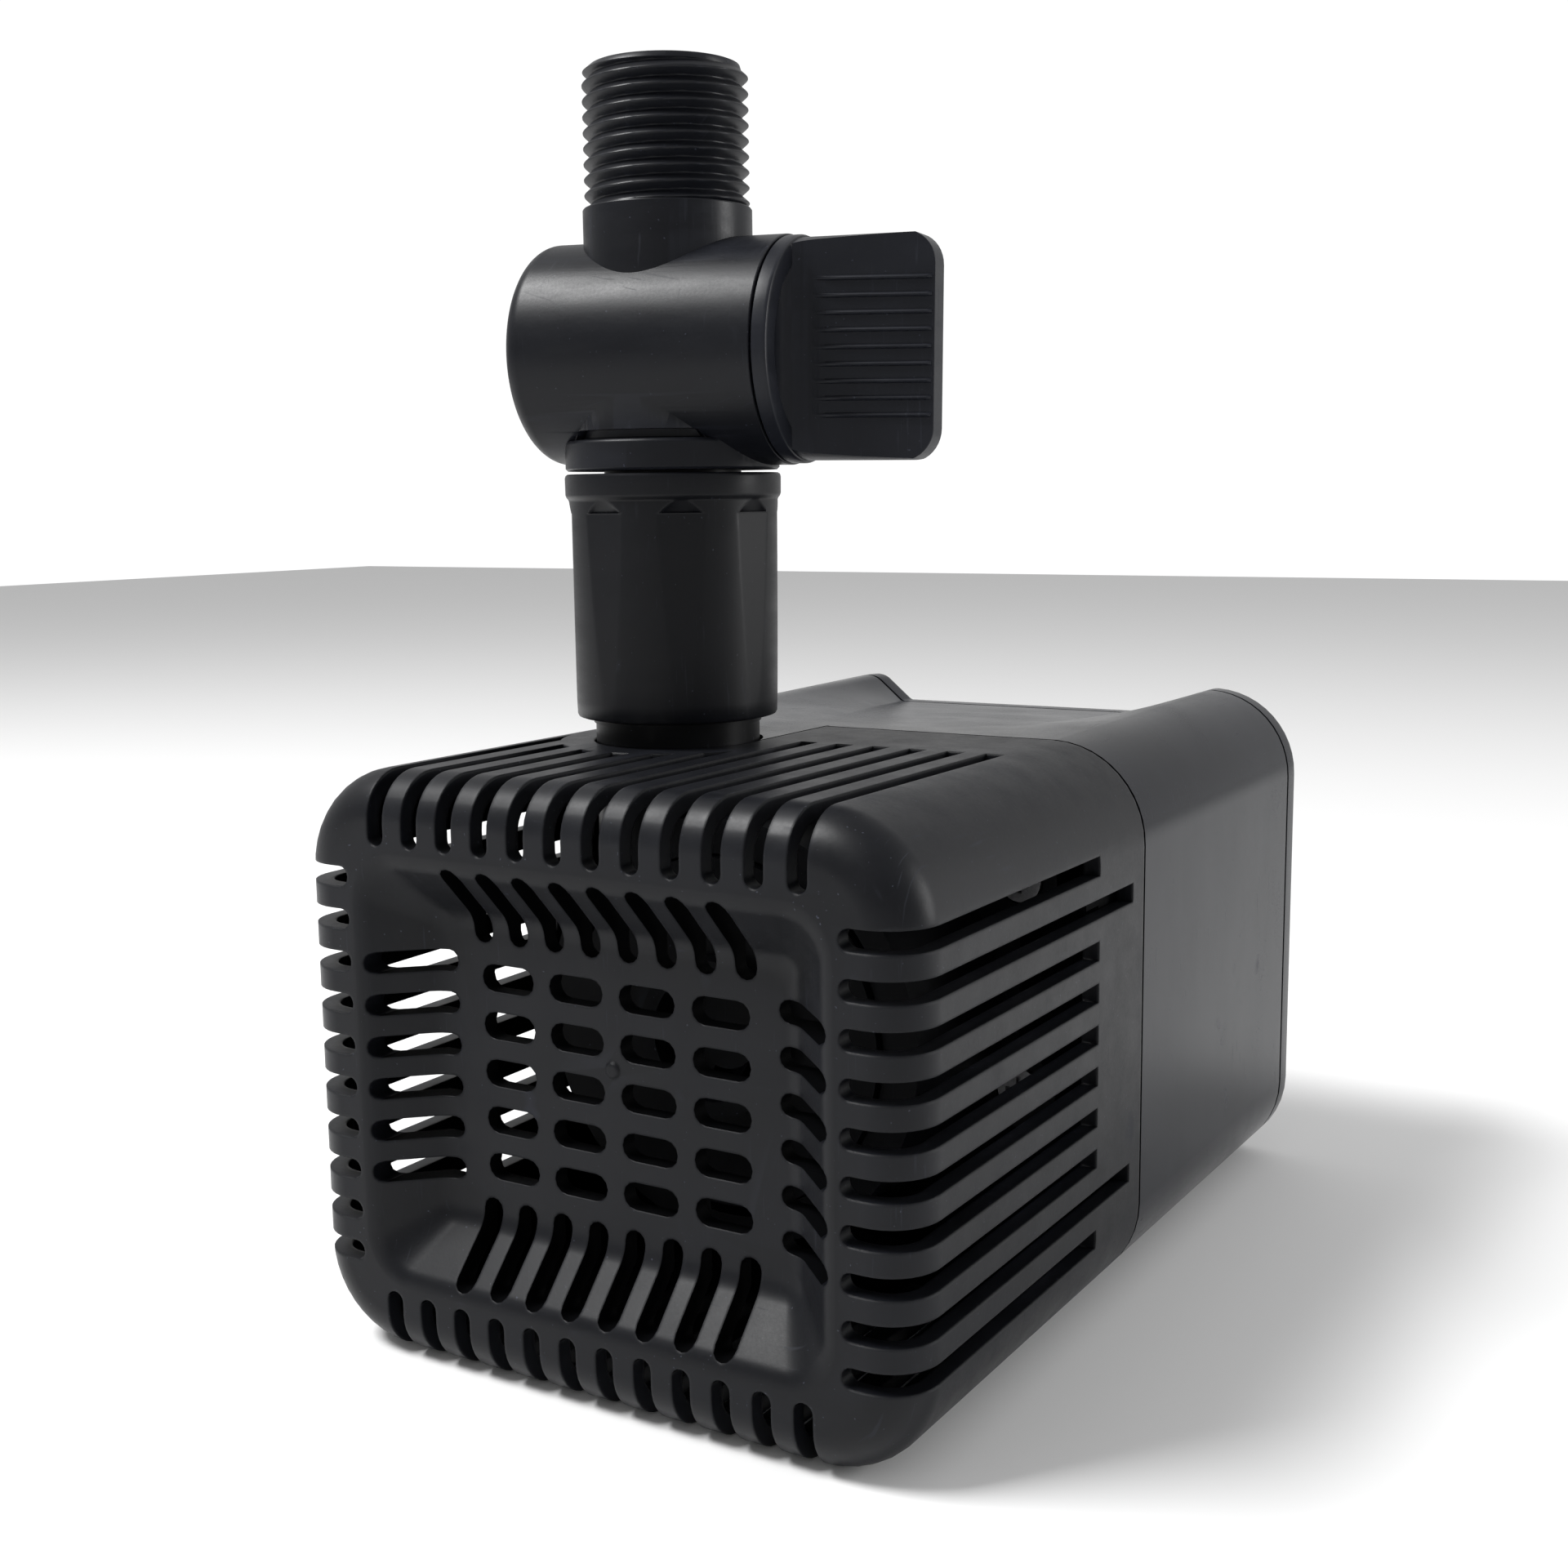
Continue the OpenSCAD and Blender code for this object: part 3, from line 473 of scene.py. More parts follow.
def rear_housing():
    """The motor housing, with the spigot inside the cage, screw posts, latch arms and neck seat."""
    pump_z, screw_x, screw_zs = 38, 29.5, (28.5, 56.0)
    rings = []
    for i in range(13):
        t = i / 12
        rings.append(across(housing_outline(t), SEAM + (HOUSING_END - SEAM) * t))
    housing = loft("housing", rings)
    rim = CAGE_WALL + 0.45

    def spigot_outline(g):
        return round_rect(BODY_W / 2 - rim - g, MID_Z - rim - g, EDGE_R - rim - g, 0, MID_Z)

    combine(housing, bar_y("spigot", spigot_outline(0), 54, SEAM + 1), "UNION")
    combine(housing, bar_y("recess", spigot_outline(2), 53, 60))
    combine(housing, bar_y("cavity", cavity_outline(0), 63.2, HOUSING_END + 1))
    holes = [rod_y("hole", 13.25, 59, 64, 0, pump_z)]
    posts, pilots = [], []
    for x in (-screw_x, screw_x):
        for z in screw_zs:
            holes.append(rod_y("hole", 1.3, 59, 63.5, x, z, 24))
            posts.append(rod_y("post", 3, 63.0, 69, x, z, 32))
            pilots.append(rod_y("pilot", 1.3, 59.5, 68, x, z, 24))
    combine(housing, joined("holes", holes))
    combine(housing, joined("posts", posts), "UNION")
    combine(housing, joined("pilots", pilots))
    arms = []
    for side in (-1, 1):
        for i in LATCH_ROWS:
            z = row_z(i)
            x0, x1 = sorted((side * (BODY_W / 2 - 4.6), side * (BODY_W / 2 - 2.6)))
            arms.append(box("arm", x0, x1, 50, 62, z - 1, z + 1))
    combine(housing, joined("arms", arms), "UNION")
    left, right = RISER_X - NECK_R, RISER_X + NECK_R
    tongue = box("tongue", left, right, 54.5, SEAM + 1, BODY_H - 4, BODY_H)
    combine(housing, tongue, "UNION")
    reach = box("reach", left, right, RISER_Y, 55, BODY_H - 2.2, BODY_H)
    around = rod("around", NECK_R + 0.45, 60, 80)
    around.data.transform(Matrix.Translation((RISER_X, RISER_Y, 0)))
    combine(reach, around)
    combine(housing, reach, "UNION")
    return housing


def back_plate():
    """The plate that closes the housing: a soft rear rim, a plug in front, a hole for the gland."""
    outline = housing_outline(1)
    rim_r, gland_r, gland_z = 1.1, 5.5, 54
    rings = [across(outline, PLATE_START)]
    for i in range(5):
        a = math.radians(22.5 * i)
        inset = inset_outline(outline, rim_r * (1 - math.cos(a)))
        rings.append(across(inset, BODY_LEN - rim_r + rim_r * math.sin(a)))
    plate = loft("plate", rings)
    combine(plate, bar_y("plug", cavity_outline(0.1), HOUSING_END - 3, HOUSING_END + 1), "UNION")
    combine(plate, bar_y("inside", cavity_outline(2.1), HOUSING_END - 4, HOUSING_END))
    combine(plate, rod_y("gland", gland_r, HOUSING_END - 5, BODY_LEN + 1, 0, gland_z))
    return plate


# ---- riser ----

def union_nut():
    """The nut: a slightly flared sleeve under a rim, with eight shallow flats. Each flat ends in a
    ramp between a straight line, the chord, and an arch under the rim."""
    z0, z1 = 76.0, 107.2
    rim_z = z1 - 2.9
    count, turn, flat = 8, math.radians(-6.4), 13.16
    chord, rise, reach, ramp_depth = rim_z - 1.95, 1.6, math.radians(11), 0.42
    steps = 384
    outer = [(12.6, z0), (12.95, z0 + 0.12), (13.1, z0 + 0.4)]
    low, high = z0 + 0.4, rim_z - 0.5
    near_rim = chord - 0.6
    heights = [low + (near_rim - low) * i / 14 for i in range(1, 15)]
    heights += [near_rim + (high - near_rim) * i / 20 for i in range(1, 21)]
    sleeve = len(heights)
    for z in heights:
        outer.append((13.12 + 0.40 * ((z - low) / (high - low)) ** 0.85, z))
    outer += [(13.6, rim_z - 0.3), (13.8, rim_z - 0.05), (13.93, rim_z + 0.3), (13.95, z1 - 0.5),
              (13.85, z1 - 0.18), (13.6, z1), (9.35, z1), (9.2, z1 - 0.15), (9.2, z1 - 2.8),
              (NECK_R + 0.35, z1 - 2.8), (NECK_R + 0.35, z0 + 0.3), (NECK_R + 0.6, z0)]
    n = len(outer)
    verts, faces = [], []
    for i in range(steps):
        a = 2 * math.pi * i / steps
        off = (a - turn + math.pi / count) % (2 * math.pi / count) - math.pi / count
        for j, (r, z) in enumerate(outer):
            if 2 <= j <= sleeve + 3:
                gap = r - flat / math.cos(off)
                arch = chord + rise * max(1 - (off / reach) ** 2, 0)
                if gap > 0:
                    scoop = ramp_depth * min(gap / 0.1, 1) if z >= chord else 0
                    r -= (gap + scoop) * min(max((arch - z) / (arch - chord + 0.2), 0), 1)
            verts.append((r * math.cos(a), r * math.sin(a), z))
    for i in range(steps):
        k = (i + 1) % steps
        for j in range(n):
            m = (j + 1) % n
            faces.append([i * n + j, k * n + j, k * n + m, i * n + m])
    return new_object("nut", verts, faces)


def barrel_frame():
    """Turn of the valve barrel: its own Z along the barrel, towards the knob."""
    return (Matrix.Translation((0, 0, BARREL_Z)) @
            Matrix.Rotation(math.radians(BARREL_TURN), 4, "Z") @
            Matrix.Rotation(math.radians(90 + BARREL_DROOP), 4, "Y"))


def outlet_thread():
    """Collar and thread in one skin: a helix that rises out of the collar and fades out on top."""
    root, crest, pitch, count = 9.55, 10.478, 1.9, 9
    top, collar_top, collar_r = OUTLET_TOP, 140.2, 10.74
    start = top - 0.75 - count * pitch
    steps, per = 120, 16
    rows = [(collar_r, 118.0), (collar_r, collar_top - 0.2), (10.6, collar_top)]
    body = [start + pitch * i / per for i in range(count * per + 1)]
    body = [z for z in body if z > collar_top + 0.02]
    verts = []
    n = 3 + len(body) + 2
    for i in range(steps):
        turn = i / steps
        a = 2 * math.pi * turn
        col = list(rows)
        for z in body:
            phase = ((z - start) / pitch - turn) % 1
            d = abs(phase - 0.5) * pitch
            h = min(max((0.88 - math.hypot(d, 0.1)) / 0.78, 0), 1)
            h *= min(max((top - 0.15 - z) / 0.3, 0), 1)
            col.append((root + (crest - root) * h, z))
        col += [(root - 0.1, top - 0.1), (root - 0.35, top)]
        verts += [(r * math.cos(a), r * math.sin(a), z) for r, z in col]
    faces = []
    for i in range(steps):
        k = (i + 1) % steps
        for j in range(n - 1):
            faces.append([i * n + j, k * n + j, k * n + j + 1, i * n + j + 1])
    faces.append([i * n for i in range(steps)])
    faces.append([i * n + n - 1 for i in range(steps)])
    return new_object("thread", verts, faces)


def saddle_groove(z, middle):
    """Low groove between flange and barrel: part of a ring, rounded at both ends."""
    reach, tall = 44, 1.25
    rings = []
    for k in range(25):
        off = -reach + 2 * reach * k / 24
        a = math.radians(middle + off)
        left = (reach - abs(off)) / 6
        h = tall * math.sqrt(max(1 - (1 - min(left, 1)) ** 2, 0.02))
        flat = (math.cos(a), math.sin(a))
        rings.append([(r * flat[0], r * flat[1], zz) for r, zz in
                      ((11.9, z + 0.15), (11.75, z + 0.3), (11.75, z + h - 0.05), (11.9, z + h),
                       (15, z + h), (15, z))])
    return loft("groove", rings)


def valve_body():
    """The tee: barrel, tail and flange below, collar and threaded outlet above, all bored out."""
    r, back, end, soft = 14.08, -16.95, 17.1, 2.4
    profile = [(0, back)]
    profile += [(r - soft + soft * math.sin(math.radians(a)),
                 back + soft - soft * math.cos(math.radians(a)))
                for a in range(0, 91, 9)]
    profile += [(r, end - 0.2), (r - 0.06, end - 0.06), (r - 0.2, end)]
    profile.append((0, end))
    barrel = spun("barrel", profile, 128)
    barrel.data.transform(barrel_frame())
    flange_z = 107.6
    tail = spun("tail", [(0, 101.3), (9.95, 101.3), (10.25, 101.6), (10.25, 104.05), (8.85, 104.05),
                         (8.85, flange_z), (13.5, flange_z), (13.8, flange_z + 0.3),
                         (13.8, flange_z + 3.3), (13.72, flange_z + 3.6), (13.5, flange_z + 3.8),
                         (12.3, flange_z + 3.85), (12.2, flange_z + 4.0),
                         (12.2, 121), (0, 121)], 128)
    combine(barrel, tail, "UNION")
    block = rod("block", 12.9, flange_z + 3.5, 121, 128)
    combine(barrel, block, "UNION")
    for side in (0, 180):
        combine(barrel, saddle_groove(flange_z + 3.75, -90 + BARREL_TURN + side))
    combine(barrel, outlet_thread(), "UNION")
    combine(barrel, rod("passage", PASSAGE_R, 99, OUTLET_TOP + 2.4))
    combine(barrel, rod("bore", BORE_R, BORE_Z, OUTLET_TOP + 2.4))
    hole = rod("hole", 11, back + 2.6, back + 62.6)
    hole.data.transform(barrel_frame())
    combine(barrel, hole)
    return barrel


def valve_knob():
    """The turning plug with its seal grooves, the disc at its end and the ribbed paddle."""
    back, disc, end = -17.1, 17.3, 36.15
    disc_r, plug_r = 13.9, 10.95
    groove = []
    for x in (-11.2, 12.6):
        groove += [(plug_r, x), (plug_r - 1.25, x), (plug_r - 1.25, x + 1.8), (plug_r, x + 1.8)]
    profile = [(0, back + 2.95), (plug_r - 0.4, back + 2.95), (plug_r, back + 3.35)] + groove
    profile += [(plug_r, disc), (disc_r - 0.1, disc), (disc_r, disc + 0.1), (disc_r, disc + 1.45),
                (disc_r - 0.16, disc + 1.84), (disc_r - 0.55, disc + 2.0), (11.35, disc + 2.0),
                (11.1, disc + 1.9), (10.95, disc + 1.7), (10.7, disc + 1.1), (10.3, disc + 0.85),
                (0, disc + 0.8)]
    knob = spun("knob", profile, 128)
    knob.data.transform(Matrix.Rotation(math.radians(90), 4, "Y"))
    half, corner, tip = 13.7, 4.0, 1.7
    side = [(disc + 0.5, -half)] + arc(end - corner, -half + corner, corner, -90, 0, 10) + \
        arc(end - corner, half - corner, corner, 0, 90, 10) + [(disc + 0.5, half)]
    paddle = loft("paddle", [[(x, y, z) for x, z in side] for y in (-12, 12)])
    root = 4.9
    sweep = bend((disc + 0.82, root + 3.4), (disc + 1.1, root + 0.2), (disc + 5.2, root - 0.35), 14)
    plan = [(disc + 0.4, root + 4.0)] + sweep + [(end + 0.01, tip)]
    plan += [(x, -y) for x, y in plan[::-1]]
    wedge = loft("wedge", [[(x, y, z) for x, y in plan] for z in (-15, 15)])
    combine(paddle, wedge, "INTERSECT")
    tidy(paddle)
    round_edges(paddle, 0.55, 3, 50)
    applied(paddle)
    limit = rod("limit", disc_r - 0.35, disc - 1, end + 2, 128)
    limit.data.transform(Matrix.Rotation(math.radians(90), 4, "Y"))
    combine(paddle, limit, "INTERSECT")
    combine(knob, paddle, "UNION")
    x0, x1 = disc + 5.2, end - 0.35
    root_y = root - 0.35
    lean = math.atan((root_y - tip) / (end - x0))
    ridges = []
    for s in (-1, 1):
        for i in range(9):
            z = (i - 4) * 2.04
            rings = []
            for x, k in ((x0 - 1.6, -0.5), (x0 + 0.6, 0.6), (x0 + 3, 1), (x1 - 0.5, 1), (x1, 0.3)):
                y = root_y - (x - x0) * math.tan(lean)
                h, w = 0.46 * k, 0.32
                rings.append([(x, s * (y - 0.5), z - w), (x, s * (y - 0.02), z - w),
                              (x, s * (y + h * 0.75), z - w * 0.55), (x, s * (y + h), z),
                              (x, s * (y + h * 0.75), z + w * 0.55), (x, s * (y - 0.02), z + w),
                              (x, s * (y - 0.5), z + w)])
            ridges.append(loft("ridge", rings))
    combine(knob, joined("ridges", ridges), "UNION")
    knob.data.transform(barrel_frame() @ Matrix.Rotation(math.radians(-90), 4, "Y"))
    passage = rod("passage", PASSAGE_R, 80, 160)
    combine(knob, passage)
    return knob


# ---- materials ----

class Shader:
    """A node material in the making."""

    def __init__(self, name):
        self.material = bpy.data.materials.new(name)
        self.material.use_nodes = True
        self.tree = self.material.node_tree
        self.surface = self.tree.nodes["Principled BSDF"]
        self.coords = self.tree.nodes.new("ShaderNodeTexCoord").outputs["Object"]

    def put(self, socket, value):
        if isinstance(value, bpy.types.NodeSocket):
            self.tree.links.new(value, socket)
        else:
            socket.default_value = value

    def node(self, kind, inputs, **settings):
        n = self.tree.nodes.new(kind)
        for key, value in settings.items():
            setattr(n, key, value)
        for key, value in inputs.items():
            self.put(n.inputs[key], value)
        return n

    def noise(self, size_mm, detail=2.0, stretch=(1, 1, 1), rough=0.5):
        """Noise whose patches are about size_mm wide."""
        place = self.node("ShaderNodeMapping", {"Vector": self.coords,
                          "Scale": tuple(1 / (size_mm * MM * s) for s in stretch)})
        n = self.node("ShaderNodeTexNoise", {"Vector": place.outputs[0], "Scale": 1.0,
                      "Detail": detail, "Roughness": rough})
        return n.outputs["Fac"]

    def remap(self, value, a, b, c, d):
        n = self.node("ShaderNodeMapRange", {"Value": value, "From Min": a, "From Max": b,
                      "To Min": c, "To Max": d})
        return n.outputs["Result"]

    def math(self, how, a, b):
        n = self.node("ShaderNodeMath", {0: a, 1: b}, operation=how)
        return n.outputs[0]

    def blend(self, amount, a, b):
        n = self.node("ShaderNodeMix", {0: amount, 6: a, 7: b}, data_type="RGBA")
        return n.outputs[2]

    def edge(self, low, high):
        """0 on flats, 1 on sharp outer edges."""
        point = self.node("ShaderNodeNewGeometry", {}).outputs["Pointiness"]
        return self.remap(point, low, high, 0.0, 1.0)

    def bump(self, layers, soft=0.0):
        """Stacks (height, strength, depth in mm) into the normal, over edges rounded by soft mm."""
        normal = None
        if soft:
            normal = self.node("ShaderNodeBevel", {"Radius": soft * MM},
                               samples=4).outputs["Normal"]
        for height, strength, depth in layers:
            inputs = {"Height": height, "Strength": strength, "Distance": depth * MM}
            if normal is not None:
                inputs["Normal"] = normal
            normal = self.node("ShaderNodeBump", inputs).outputs["Normal"]
        self.put(self.surface.inputs["Normal"], normal)

    def set(self, **values):
        for key, value in values.items():
            self.put(self.surface.inputs[key.replace("_", " ")], value)


def grey(v, tint=0.5):
    """A dark tone, slightly blue."""
    return (v, v * (1 + tint * 0.2), v * (1 + tint), 1)


def plastic(name, tone, rough, grain=0.5, wear=0.35, dust=0.5, streak=(1, 1, 1), level=0.5,
            ripple=0.0, soft=0.0):
    """Moulded black plastic: fine grain, uneven sheen, hairline scratches, dust and worn edges."""
    s = Shader(name)
    fine = s.noise(0.35, 3.0)
    cloud = s.noise(14, 3.0)
    flow = s.noise(5, 4.0, streak, 0.6)
    hair = s.noise(0.5, 2.0, (0.6, 14, 14))
    hair2 = s.noise(0.6, 2.0, (14, 0.7, 14))
    speck = s.remap(s.noise(0.45, 1.0), 0.76, 0.79, 0.0, 1.0)
    base = s.blend(s.remap(cloud, 0.3, 0.7, 0.0, 1.0), grey(tone * 0.86), grey(tone * 1.16))
    base = s.blend(s.math("MULTIPLY", speck, 0.35 * dust), base, grey(0.20))
    scratch = s.math("MULTIPLY", s.remap(hair, 0.66, 0.72, 0.0, 1.0),
                     s.remap(cloud, 0.45, 0.6, 0.0, 1.0))
    scratch2 = s.math("MULTIPLY", s.remap(hair2, 0.67, 0.72, 0.0, 1.0),
                      s.remap(cloud, 0.55, 0.4, 0.0, 1.0))
    scratches = s.math("MAXIMUM", scratch, scratch2)
    base = s.blend(s.math("MULTIPLY", scratches, 0.12 * dust), base, grey(0.14))
    worn = s.math("MULTIPLY", s.edge(0.515, 0.60), s.remap(flow, 0.35, 0.65, 0.3, 1.0))
    base = s.blend(s.math("MULTIPLY", worn, wear), base, grey(tone * 3.0 + 0.008))
    roughness = s.math("ADD", s.remap(flow, 0.25, 0.75, rough - 0.05, rough + 0.07),
                       s.remap(fine, 0.2, 0.8, -0.03, 0.03))
    roughness = s.math("ADD", roughness, s.math("MULTIPLY", scratches, 0.12))
    s.set(Base_Color=base, Roughness=roughness, Specular_IOR_Level=level)
    layers = [(fine, 0.35 * grain, 0.02), (flow, 0.25 * grain, 0.05),
              (scratches, 0.15 * dust, 0.01)]
    if ripple:
        layers.append((s.noise(22, 1.0), 0.6, ripple))
    s.bump(layers, soft)
    return s.material


def rubber(name):
    s = Shader(name)
    fine = s.noise(0.25, 4.0)
    cloud = s.noise(4, 3.0)
    base = s.blend(cloud, (0.010, 0.010, 0.010, 1), (0.024, 0.024, 0.023, 1))
    base = s.blend(s.math("MULTIPLY", s.edge(0.52, 0.6), 0.4), base, (0.05, 0.05, 0.05, 1))
    s.set(Base_Color=base, Roughness=s.remap(cloud, 0.2, 0.8, 0.6, 0.8), Specular_IOR_Level=0.3)
    s.bump([(fine, 0.5, 0.03)])
    return s.material


def metal(name, colour, dark, rough, grain_mm, stretch):
    """Metal with a drawn or laminated grain, duller patches and bright edges."""
    s = Shader(name)
    lines = s.noise(grain_mm, 3.0, stretch)
    cloud = s.noise(6, 3.0)
    base = s.blend(s.remap(lines, 0.3, 0.7, 0.0, 1.0), dark + (1,), colour + (1,))
    base = s.blend(s.remap(cloud, 0.5, 0.8, 0.0, 0.35), base, dark + (1,))
    bright = tuple(min(c * 1.25, 1) for c in colour) + (1,)
    base = s.blend(s.math("MULTIPLY", s.edge(0.52, 0.62), 0.6), base, bright)
    s.set(Base_Color=base, Metallic=1.0,
          Roughness=s.remap(cloud, 0.2, 0.8, rough - 0.08, rough + 0.1))
    s.bump([(lines, 0.5, 0.03)])
    return s.material


def stone(name, light, dark, rough, level, grain_mm):
    """Fired or pressed powder: ferrite, ceramic, hard resin and nylon."""
    s = Shader(name)
    fine = s.noise(grain_mm, 4.0)
    cloud = s.noise(grain_mm * 18, 3.0)
    base = s.blend(s.remap(cloud, 0.3, 0.7, 0.0, 1.0), dark + (1,), light + (1,))
    base = s.blend(s.remap(fine, 0.6, 0.75, 0.0, 0.3), base, tuple(c * 0.7 for c in dark) + (1,))
    pale = tuple(min(c * 1.3 + 0.01, 1) for c in light) + (1,)
    base = s.blend(s.math("MULTIPLY", s.edge(0.52, 0.6), 0.5), base, pale)
    s.set(Base_Color=base, Roughness=s.remap(fine, 0.2, 0.8, rough - 0.05, rough + 0.08),
          Specular_IOR_Level=level)
    s.bump([(fine, 0.3, 0.02), (cloud, 0.2, 0.06)])
    return s.material


def wound_copper(name):
    """Enamelled wire laid in turns, seen as fine level grooves."""
    s = Shader(name)
    place = s.node("ShaderNodeMapping", {"Vector": s.coords, "Scale": (1, 1, 1 / (0.55 * MM))})
    wave = s.node("ShaderNodeTexWave", {"Vector": place.outputs[0], "Scale": 0.32,
                  "Distortion": 0.6, "Detail": 1.0}, bands_direction="Z").outputs["Fac"]
    cloud = s.noise(3, 3.0)
    # Painted shade: the grooves between the turns are coloured darker copper, following the same
    # bands as the bump.
    base = s.blend(wave, (0.16, 0.045, 0.012, 1), (0.62, 0.25, 0.08, 1))
    base = s.blend(s.remap(cloud, 0.45, 0.7, 0.0, 0.4), base, (0.35, 0.12, 0.035, 1))
    s.set(Base_Color=base, Metallic=0.85, Roughness=s.remap(cloud, 0.3, 0.7, 0.22, 0.38),
          Coat_Weight=0.6, Coat_Roughness=0.12)
    s.bump([(wave, 0.9, 0.12), (cloud, 0.2, 0.05)])
    return s.material


cage_plastic = plastic("cage plastic", 0.0042, 0.40, 0.7, 0.30, 0.5, level=0.2, soft=0.5)
housing_plastic = plastic("housing plastic", 0.009, 0.23, 0.10, 0.25, 0.35, (3, 3, 8), level=0.15,
                          ripple=0.012)
nut_plastic, valve_plastic, handle_plastic = (
    plastic(name, tone, 0.36, 0.6, 0.25, 0.35, (2.5, 2.5, 0.5), level=0.19)
    for name, tone in (("nut plastic", 0.0036), ("valve plastic", 0.0054),
                       ("handle plastic", 0.0085)))
head_plastic = plastic("head plastic", 0.0015, 0.36, 0.5, 0.2, 0.4, level=0.12)
# Painted shade: a near-black, dull plastic that stands in for the shade inside the cage, in the
# grille holes and in the joints between mouldings.
painted_shade_plastic = plastic("painted shade plastic", 0.0008, 0.6, 0.5, 0.1, 0.0, level=0.05)
rotor_plastic = plastic("rotor plastic", 0.028, 0.40, 0.6, 0.2, 0.3, level=0.45)
seal_rubber = rubber("seal rubber")
magnet = stone("ferrite", (0.075, 0.075, 0.08), (0.045, 0.045, 0.05), 0.45, 0.6, 0.5)
shaft_ceramic = stone("white ceramic", (0.86, 0.85, 0.80), (0.78, 0.77, 0.72), 0.14, 0.6, 0.25)
core_steel = metal("core steel", (0.50, 0.51, 0.53), (0.22, 0.22, 0.24), 0.38, 0.35, (30, 1, 30))
bobbin_nylon = stone("bobbin nylon", (0.80, 0.78, 0.70), (0.70, 0.68, 0.60), 0.42, 0.5, 0.5)
coil_copper = wound_copper("coil copper")
potting_resin = stone("potting resin", (0.022, 0.022, 0.026), (0.012, 0.012, 0.015), 0.20, 0.5, 0.8)
screw_steel = metal("screw steel", (0.42, 0.42, 0.43), (0.22, 0.22, 0.24), 0.32, 0.3, (1, 20, 1))

# ---- the object ----

cage = piece(front_cage(), "strainer_cage", "front_cage", "cage", cage_plastic,
             TO_FRONT, 0.38)
# Painted shade: the faces inside the cage, the walls of the grille holes and the cage's rear rim
# get the near-black painted-shade plastic.
cage.data.materials.append(painted_shade_plastic)
for face in cage.data.polygons:
    x, y, z = face.center / MM
    over_x = max(abs(x) - (BODY_W / 2 - EDGE_R), 0)
    over_z = max(abs(z - MID_Z) - (MID_Z - EDGE_R), 0)
    hollow = math.hypot(over_x, over_z) < EDGE_R - CAGE_WALL + 0.03 and y > FRONT + DISH_DEPTH + 0.4
    in_grille = abs(x) < 31 and 8 < z < 64 and abs(face.normal.y) < 0.01
    rear_rim = y > FRONT + CAGE_END - 0.05
    if hollow or in_grille or rear_rim:
        face.material_index = 1
housing = piece(rear_housing(), "motor_housing", "rear_housing", "housing",
                housing_plastic, TO_FRONT, 0.12)
# Painted shade on the housing's spigot tucked into the cage and its seam faces, and on the plate's
# plug and front face.
shade_joint(housing, painted_shade_plastic, SEAM, HOUSING_END)
plate = piece(back_plate(), "end_plate", "back_plate", "housing",
              housing_plastic, TO_FRONT, 0.12)
shade_joint(plate, painted_shade_plastic, PLATE_START)
piece(union_nut(), "coupling_nut", "union_nut", "nut", nut_plastic, RISER, 0)
piece(valve_body(), "valve_housing", "valve_body", "valve", valve_plastic, RISER,
      0.3, 40)
piece(valve_knob(), "valve_handle", "valve_knob", "knob", handle_plastic, RISER, 0)

KEPT = {
    "pump_head": head_plastic, "impeller_cover": head_plastic, "cover_seal": seal_rubber,
    "impeller": rotor_plastic, "rotor_magnet": magnet, "rotor_shaft": shaft_ceramic,
    "front_bush": seal_rubber, "rear_bush": seal_rubber, "rotor_can": rotor_plastic,
    "stator_core": core_steel, "left_bobbin": bobbin_nylon, "right_bobbin": bobbin_nylon,
    "left_coil": coil_copper, "right_coil": coil_copper, "potting_block": potting_resin,
    "cable_gland": seal_rubber, "head_screws": screw_steel, "union_seal": seal_rubber,
    "valve_seals": seal_rubber,
}
for name, material in KEPT.items():
    obj = nodes[name]
    for slot in obj.material_slots:
        slot.material = material
    if not obj.material_slots:
        obj.data.materials.append(material)
    if name not in ("cover_seal", "valve_seals"):
        round_edges(obj, 0.15 * MM, 2, 35)


# ---- studio ----

def add_camera():
    """Camera at the viewing angle: place in metres, turn about Z, tilt down and roll in degrees."""
    place = Vector((0.12874, -0.22726, 0.10452))
    yaw, down, roll = (math.radians(a) for a in (31.645, 8.623, -0.716))
    ahead = Vector((-math.sin(yaw) * math.cos(down), math.cos(yaw) * math.cos(down),
                    -math.sin(down)))
    right = Vector((math.cos(yaw), math.sin(yaw), 0))
    up = right.cross(ahead)
    turned_right = right * math.cos(roll) + up * math.sin(roll)
    turned_up = up * math.cos(roll) - right * math.sin(roll)
    data = bpy.data.cameras.new("camera")
    data.sensor_width = 36
    data.lens = 44.03
    data.clip_start = 0.01
    camera = bpy.data.objects.new("camera", data)
    bpy.context.scene.collection.objects.link(camera)
    matrix = Matrix((turned_right, turned_up, -ahead)).transposed().to_4x4()
    matrix.translation = place
    camera.matrix_world = matrix
    bpy.context.scene.camera = camera


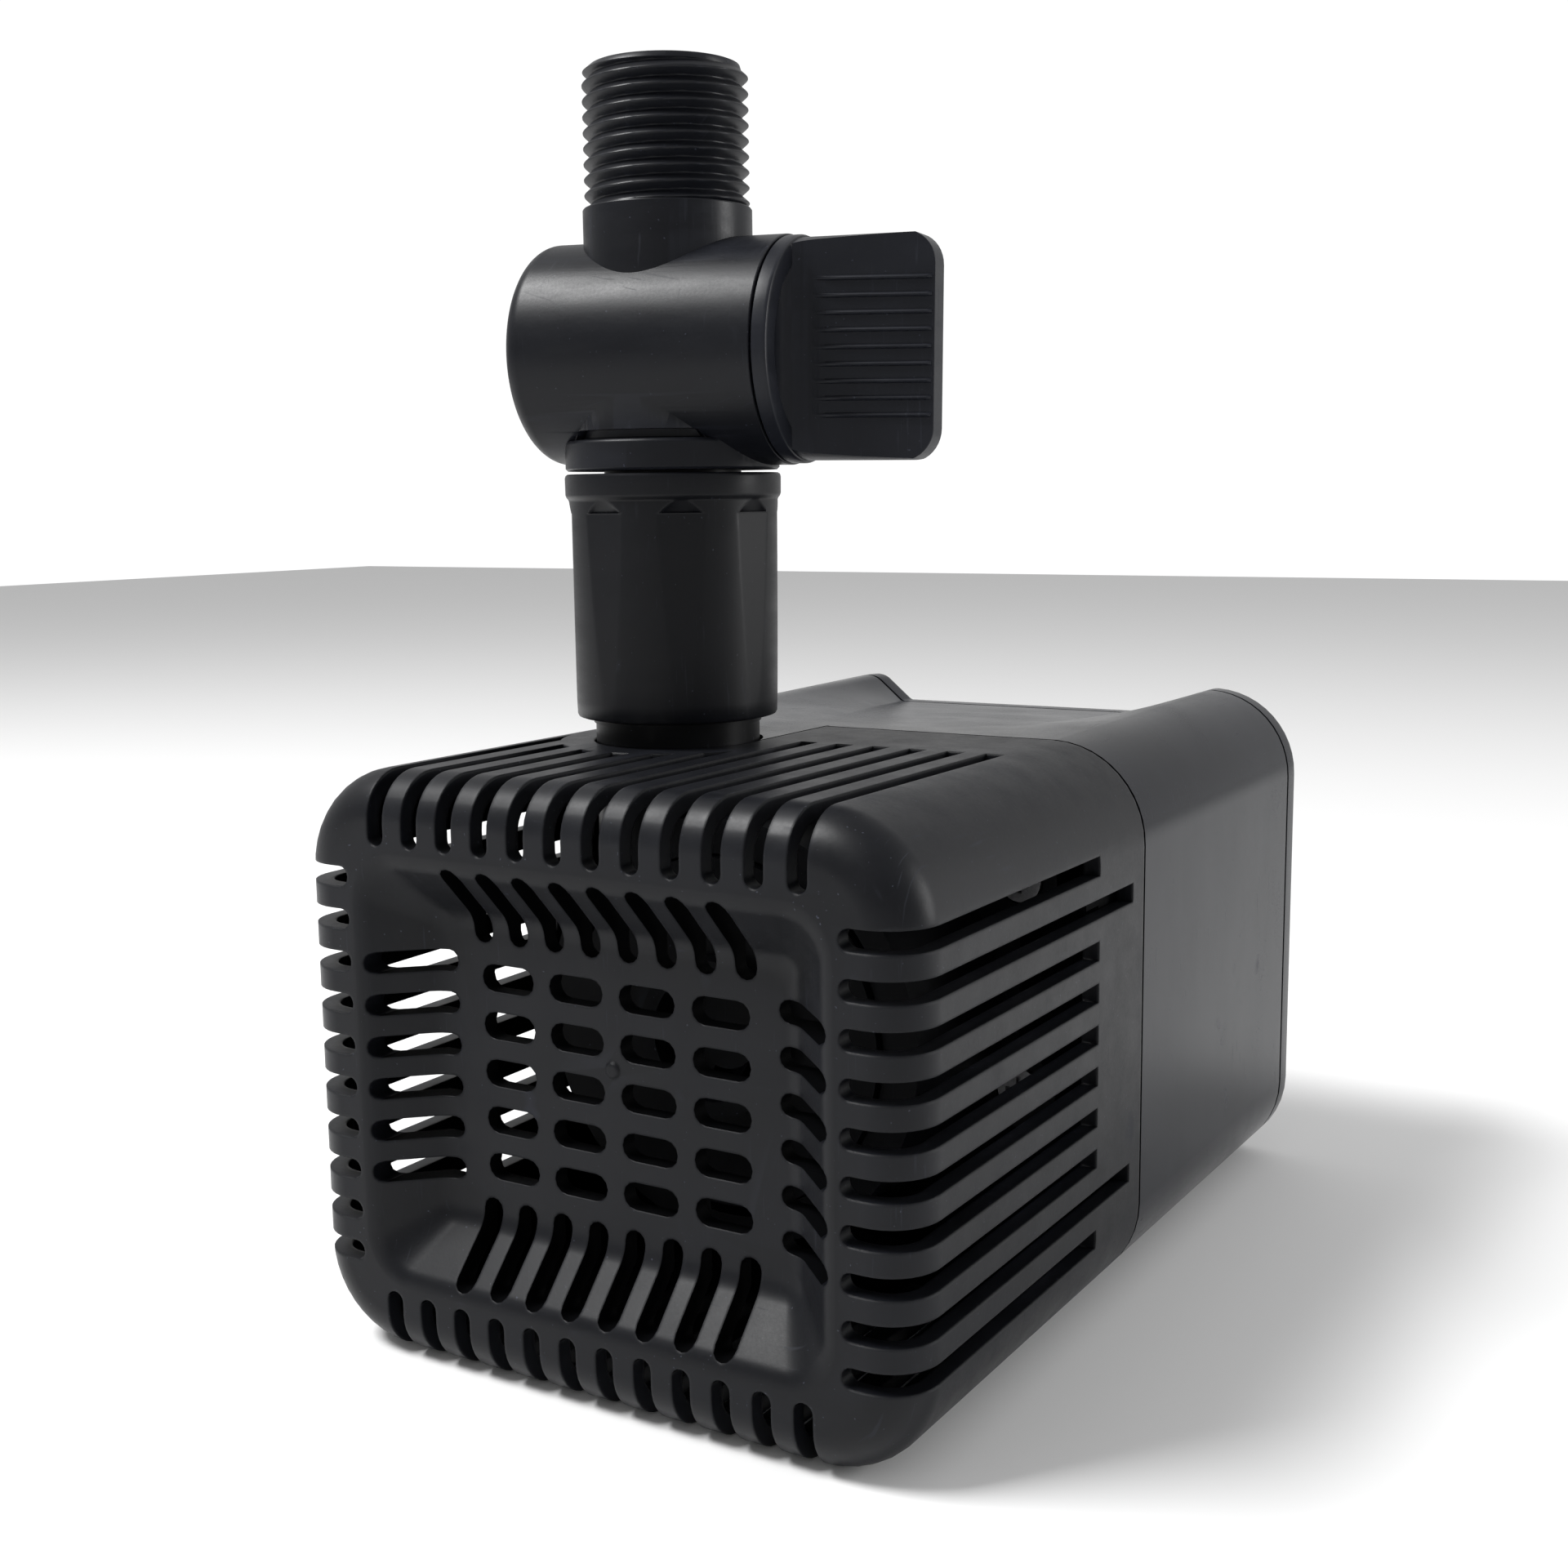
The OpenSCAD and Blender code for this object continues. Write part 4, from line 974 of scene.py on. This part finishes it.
def soft_light(name, place, target, size, power):
    """A square soft box, in metres and watts, facing the target."""
    data = bpy.data.lights.new(name, "AREA")
    data.shape = "RECTANGLE"
    data.size, data.size_y = size
    data.energy = power
    lamp = bpy.data.objects.new(name, data)
    bpy.context.scene.collection.objects.link(lamp)
    way = Vector(target) - Vector(place)
    lamp.location = place
    lamp.rotation_euler = way.to_track_quat("-Z", "Y").to_euler()


def studio():
    bpy.context.scene.view_settings.view_transform = "Standard"
    world = bpy.data.worlds.new("studio")
    bpy.context.scene.world = world
    world.use_nodes = True
    tree = world.node_tree
    back = tree.nodes["Background"]
    back.inputs["Strength"].default_value = 1.0
    way = tree.nodes.new("ShaderNodeTexCoord")
    split = tree.nodes.new("ShaderNodeSeparateXYZ")
    tree.links.new(way.outputs["Generated"], split.inputs[0])
    fade = tree.nodes.new("ShaderNodeMapRange")
    fade.inputs["From Min"].default_value = -0.6
    fade.inputs["From Max"].default_value = 0.5
    fade.inputs["To Min"].default_value = 0.40
    fade.inputs["To Max"].default_value = 0.64
    tree.links.new(split.outputs["Y"], fade.inputs["Value"])
    seen = tree.nodes.new("ShaderNodeLightPath")
    pick = tree.nodes.new("ShaderNodeMix")
    pick.inputs["B"].default_value = 1.05
    tree.links.new(seen.outputs["Is Camera Ray"], pick.inputs["Factor"])
    tree.links.new(fade.outputs["Result"], pick.inputs["A"])
    tree.links.new(pick.outputs["Result"], back.inputs["Color"])
    middle = (0, 0, 0.09)
    soft_light("overhead", (-0.40, -0.36, 0.82), middle, (0.38, 0.26), 11)
    soft_light("side", (0.78, 0.44, 0.30), middle, (0.22, 0.45), 3.5)
    bpy.ops.mesh.primitive_plane_add(size=4)
    floor = bpy.context.object
    floor.name = "floor"
    paper = bpy.data.materials.new("pale paper")
    paper.use_nodes = True
    surface = paper.node_tree.nodes["Principled BSDF"]
    surface.inputs["Base Color"].default_value = (0.84, 0.84, 0.84, 1)
    surface.inputs["Roughness"].default_value = 0.9
    floor.data.materials.append(paper)


add_camera()
studio()
